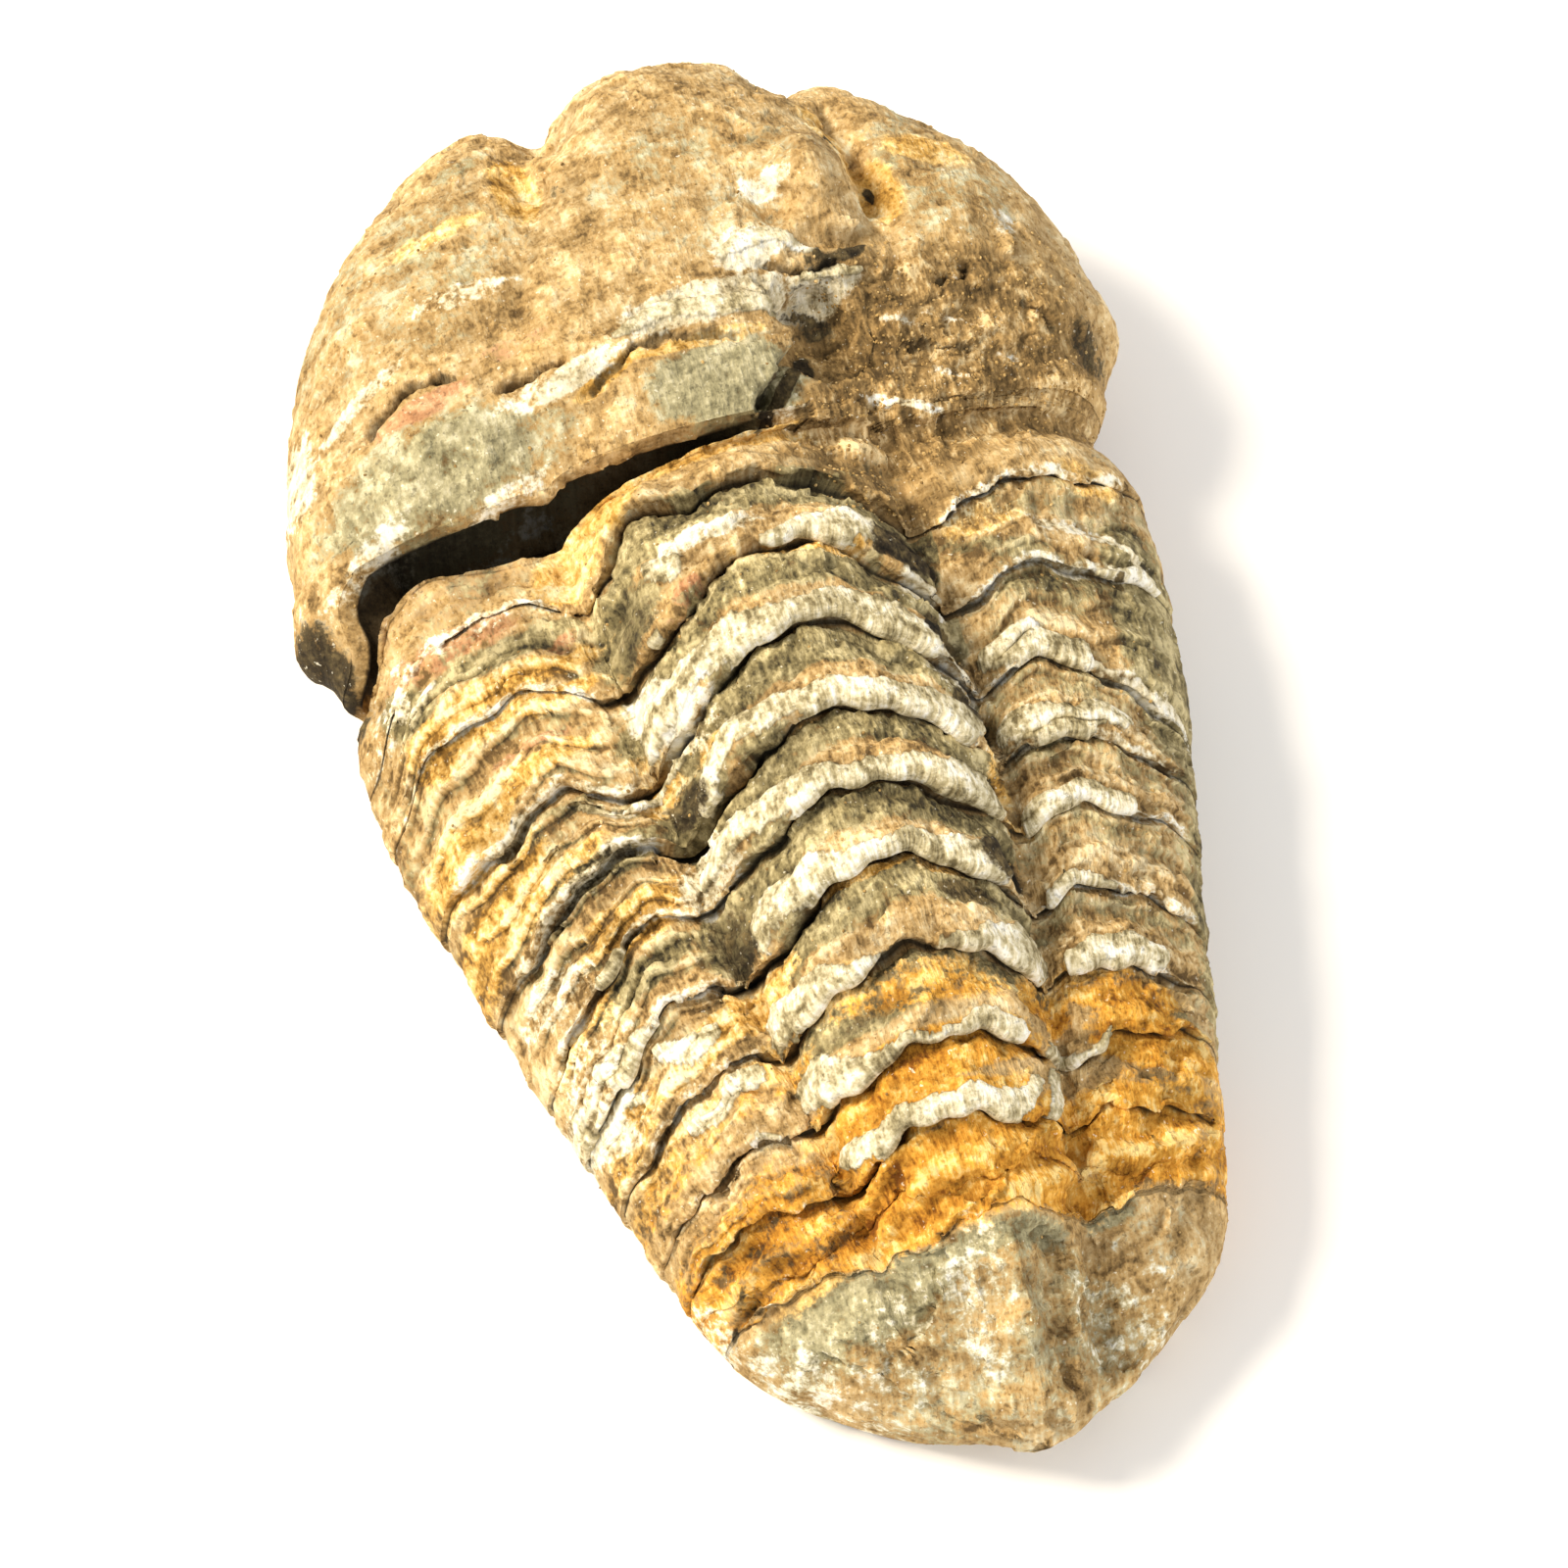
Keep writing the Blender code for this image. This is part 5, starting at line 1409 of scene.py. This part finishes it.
# %% Grit material
GRIT_COLOURS = ("#6a5230", "#8f7344", "#b39259", "#d8bd88")
grit_stone, tree, shader = matt_material("Sandstone grit, iron stained")
place = add(tree, "ShaderNodeTexCoord", out="Object")
speckle = add(tree, NOISE, {"Vector": place, "Scale": 1 / (0.25 * MM), "Detail": 2.0})
own = add(tree, MARK, out="Fac", attribute_name="tone")
mixed = add(tree, MIX, {0: 0.6, 2: speckle, 3: own}, data_type="FLOAT")
ramp = add(tree, "ShaderNodeValToRGB", {0: mixed})
stops = ramp.node.color_ramp.elements
for _more in RAMP_PLACES[2:]:
    stops.new(0.5)
for stop, spot, code in zip(stops, RAMP_PLACES, GRIT_COLOURS):
    stop.position, stop.color = spot, linear(code)
bumps = add(tree, "ShaderNodeBump", {"Strength": 0.5, "Distance": 0.06 * MM, "Height": speckle})
tree.links.new(ramp, shader.inputs["Base Color"])
tree.links.new(bumps, shader.inputs["Normal"])
print(grit_stone.name, "has", len(tree.nodes), "nodes")

# %% [markdown]
# ## Scattering the grains
#
# A particle system could scatter the grains, but the export drops particles. The tree below puts a
# small rough ball on each point that it scatters, and its last nodes turn all of them into one real
# mesh. It runs on a copy of the whole skin, after the tree that breaks the skin up, so each grain
# sits on the true surface. The wide dark spots of smooth stone stay bare of sand, and so do the
# painted shadows of the same dark mark.

# %% Scatter the grit
GRIT_SIZES = {
    "Crumbs per square mm": 0.12, "Sand per square mm": 4.0, "Seed": 11, "Material": grit_stone,
    "Smallest": 0.05 * MM, "Largest": 0.12 * MM,
}
TURN, STOUTEST, SLIMMEST = (6.28, 6.28, 6.28), (1.3, 1.2, 1.1), (0.6, 0.7, 0.5)


def grit_tree():
    """Scatters grains on the skin, thickest on sand, and leaves only the grains."""
    tree, size = new_tree("Grit on the skin", GRIT_SIZES)
    names = ("sand", "rough", "dark")
    mark = {name: add(tree, NAMED_MARK, {"Name": name}, data_type="FLOAT") for name in names}
    rough = add(tree, MAP_RANGE, {0: mark["rough"], 1: 0.3, 2: 0.8})
    # Fewer sand grains where the dark mark lies, which is partly painted shadow
    sand = add(tree, MATH, {0: mark["sand"], 1: mark["dark"]}, operation="SUBTRACT")
    sand = add(tree, MAP_RANGE, {0: sand, 1: 0.2, 2: 0.9})
    dense = {0: sand, 1: size["Sand per square mm"], 2: size["Crumbs per square mm"]}
    dense = add(tree, MATH, dense, operation="MULTIPLY_ADD")
    dense = add(tree, MATH, {0: dense, 1: rough}, operation="MULTIPLY")
    dense = add(tree, MATH, {0: dense, 1: MM * MM}, operation="DIVIDE")
    spread = {"Mesh": size["Geometry"], "Density": dense, "Seed": size["Seed"]}
    spots = add(tree, "GeometryNodeDistributePointsOnFaces", spread)
    ball = add(tree, "GeometryNodeMeshIcoSphere", {"Radius": 1.0, "Subdivisions": 1})
    turn = add(tree, RANDOM, {0: (0.0, 0.0, 0.0), 1: TURN, "Seed": 5}, data_type="FLOAT_VECTOR")
    rotation = add(tree, "FunctionNodeEulerToRotation", {0: turn})
    big = add(tree, RANDOM, {2: size["Smallest"], 3: size["Largest"], "Seed": 8}, out=1)
    uneven = add(tree, RANDOM, {0: SLIMMEST, 1: STOUTEST, "Seed": 9}, data_type="FLOAT_VECTOR")
    scale = add(tree, VECTOR_MATH, {0: uneven, "Scale": big}, operation="SCALE")
    grain = {"Points": spots, "Instance": ball, "Rotation": rotation, "Scale": scale}
    grains = add(tree, "GeometryNodeInstanceOnPoints", grain)
    own = add(tree, RANDOM, {2: 0.0, 3: 1.0, "Seed": 13}, out=1)
    toned = {0: grains, "Name": "tone", "Value": own}
    grains = add(tree, "GeometryNodeStoreNamedAttribute", toned, domain="INSTANCE")
    shape = add(tree, "GeometryNodeRealizeInstances", {0: grains})
    shape = add(tree, "GeometryNodeSetMaterial", {0: shape, "Material": size["Material"]})
    add(tree, "NodeGroupOutput", {0: shape})
    return tree


run_trees(grit, (broken_skin, SKIN_SIZES), (grit_tree(), GRIT_SIZES))

# %% [markdown]
# ## Joining the frame
#
# Every piece says which body carries it, and the CAD solid that the pieces stand in for is hidden.
# The stone doesn't move, so all of them ride on the root body.

# %% Ride and replace
for piece in (*stones, grit):
    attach(piece, "root")
    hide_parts("trilobite")
print("pieces:", [piece.name for piece in (*stones, grit)])

# %% [markdown]
# ## Floor, light and camera
#
# One soft lamp over the head's left shows the relief, because its light grazes the back: each
# ledge gets a lit edge and a shadow. A dim sky, a weak second lamp from the tail's right and the
# pale floor fill the shadows. Three equal lamps would be the usual studio set, but they would
# flatten the rings.

# %% Floor
floor_paint, _tree, shader = matt_material("Pale matt floor", specular=0.5)
shader.inputs["Base Color"].default_value = linear("#f4f2ee")
floor_mesh = bpy.data.meshes.new("floor")
floor_mesh.from_pydata([(-2, -2, 0), (2, -2, 0), (2, 2, 0), (-2, 2, 0)], [], [(0, 1, 2, 3)])
floor_mesh.materials.append(floor_paint)
floor = place_in_scene("floor", floor_mesh)
print("floor at 0 mm, 4 m wide")

# %% Lights
LAMP_DISTANCE = 1.0


def lamp(name, direction, size, watts, tint):
    """A soft square lamp a metre away in that direction, turned to face the stone."""
    data = bpy.data.lights.new(name, "AREA")
    data.energy, data.size, data.color = watts, size, linear(tint)[:3]
    away = np.array(direction) / np.linalg.norm(direction)
    piece = place_in_scene(name, data)
    piece.location = away * LAMP_DISTANCE
    piece.rotation_euler = (0.0, math.acos(away[2]), math.atan2(away[1], away[0]))


lamp("key", (-0.85, 0.35, 1.0), size=0.34, watts=15.0, tint="#fff4e2")
lamp("fill", (0.5, -0.9, 0.8), size=0.8, watts=5.2, tint="#f8f8ff")
world = bpy.data.worlds.new("studio")
bpy.context.scene.world = world
world.use_nodes = True
sky = world.node_tree.nodes["Background"].inputs
sky["Color"].default_value, sky["Strength"].default_value = linear("#fcfbf8"), 0.68
bpy.context.scene.view_settings.view_transform = "Standard"
print("lamps: key and fill")

# %% [markdown]
# ## Camera
#
# The picture looks at the stone from the tail's side, steeply from above and a little from the
# left. A long lens from a third of a metre keeps the near tail from looking swollen, as a
# photographer of small things would.

# %% Camera
AZIMUTH, ELEVATION = math.radians(-17.0), math.radians(60.0)
AIM_AT = (-1.758 * MM, -3.274 * MM, 8.0 * MM)
AWAY = 320.0 * MM
LENS, SENSOR = 150.0, 36.0
level = math.cos(ELEVATION)
towards = (math.sin(AZIMUTH) * level, -math.cos(AZIMUTH) * level, math.sin(ELEVATION))
camera = place_in_scene("camera", bpy.data.cameras.new("camera"))
camera.data.lens, camera.data.sensor_width = LENS, SENSOR
camera.location = [spot + AWAY * way for spot, way in zip(AIM_AT, towards)]
camera.rotation_euler = (math.pi / 2.0 - ELEVATION, 0.0, AZIMUTH)
bpy.context.scene.camera = camera
print("camera", round(AWAY / MM), "mm away")
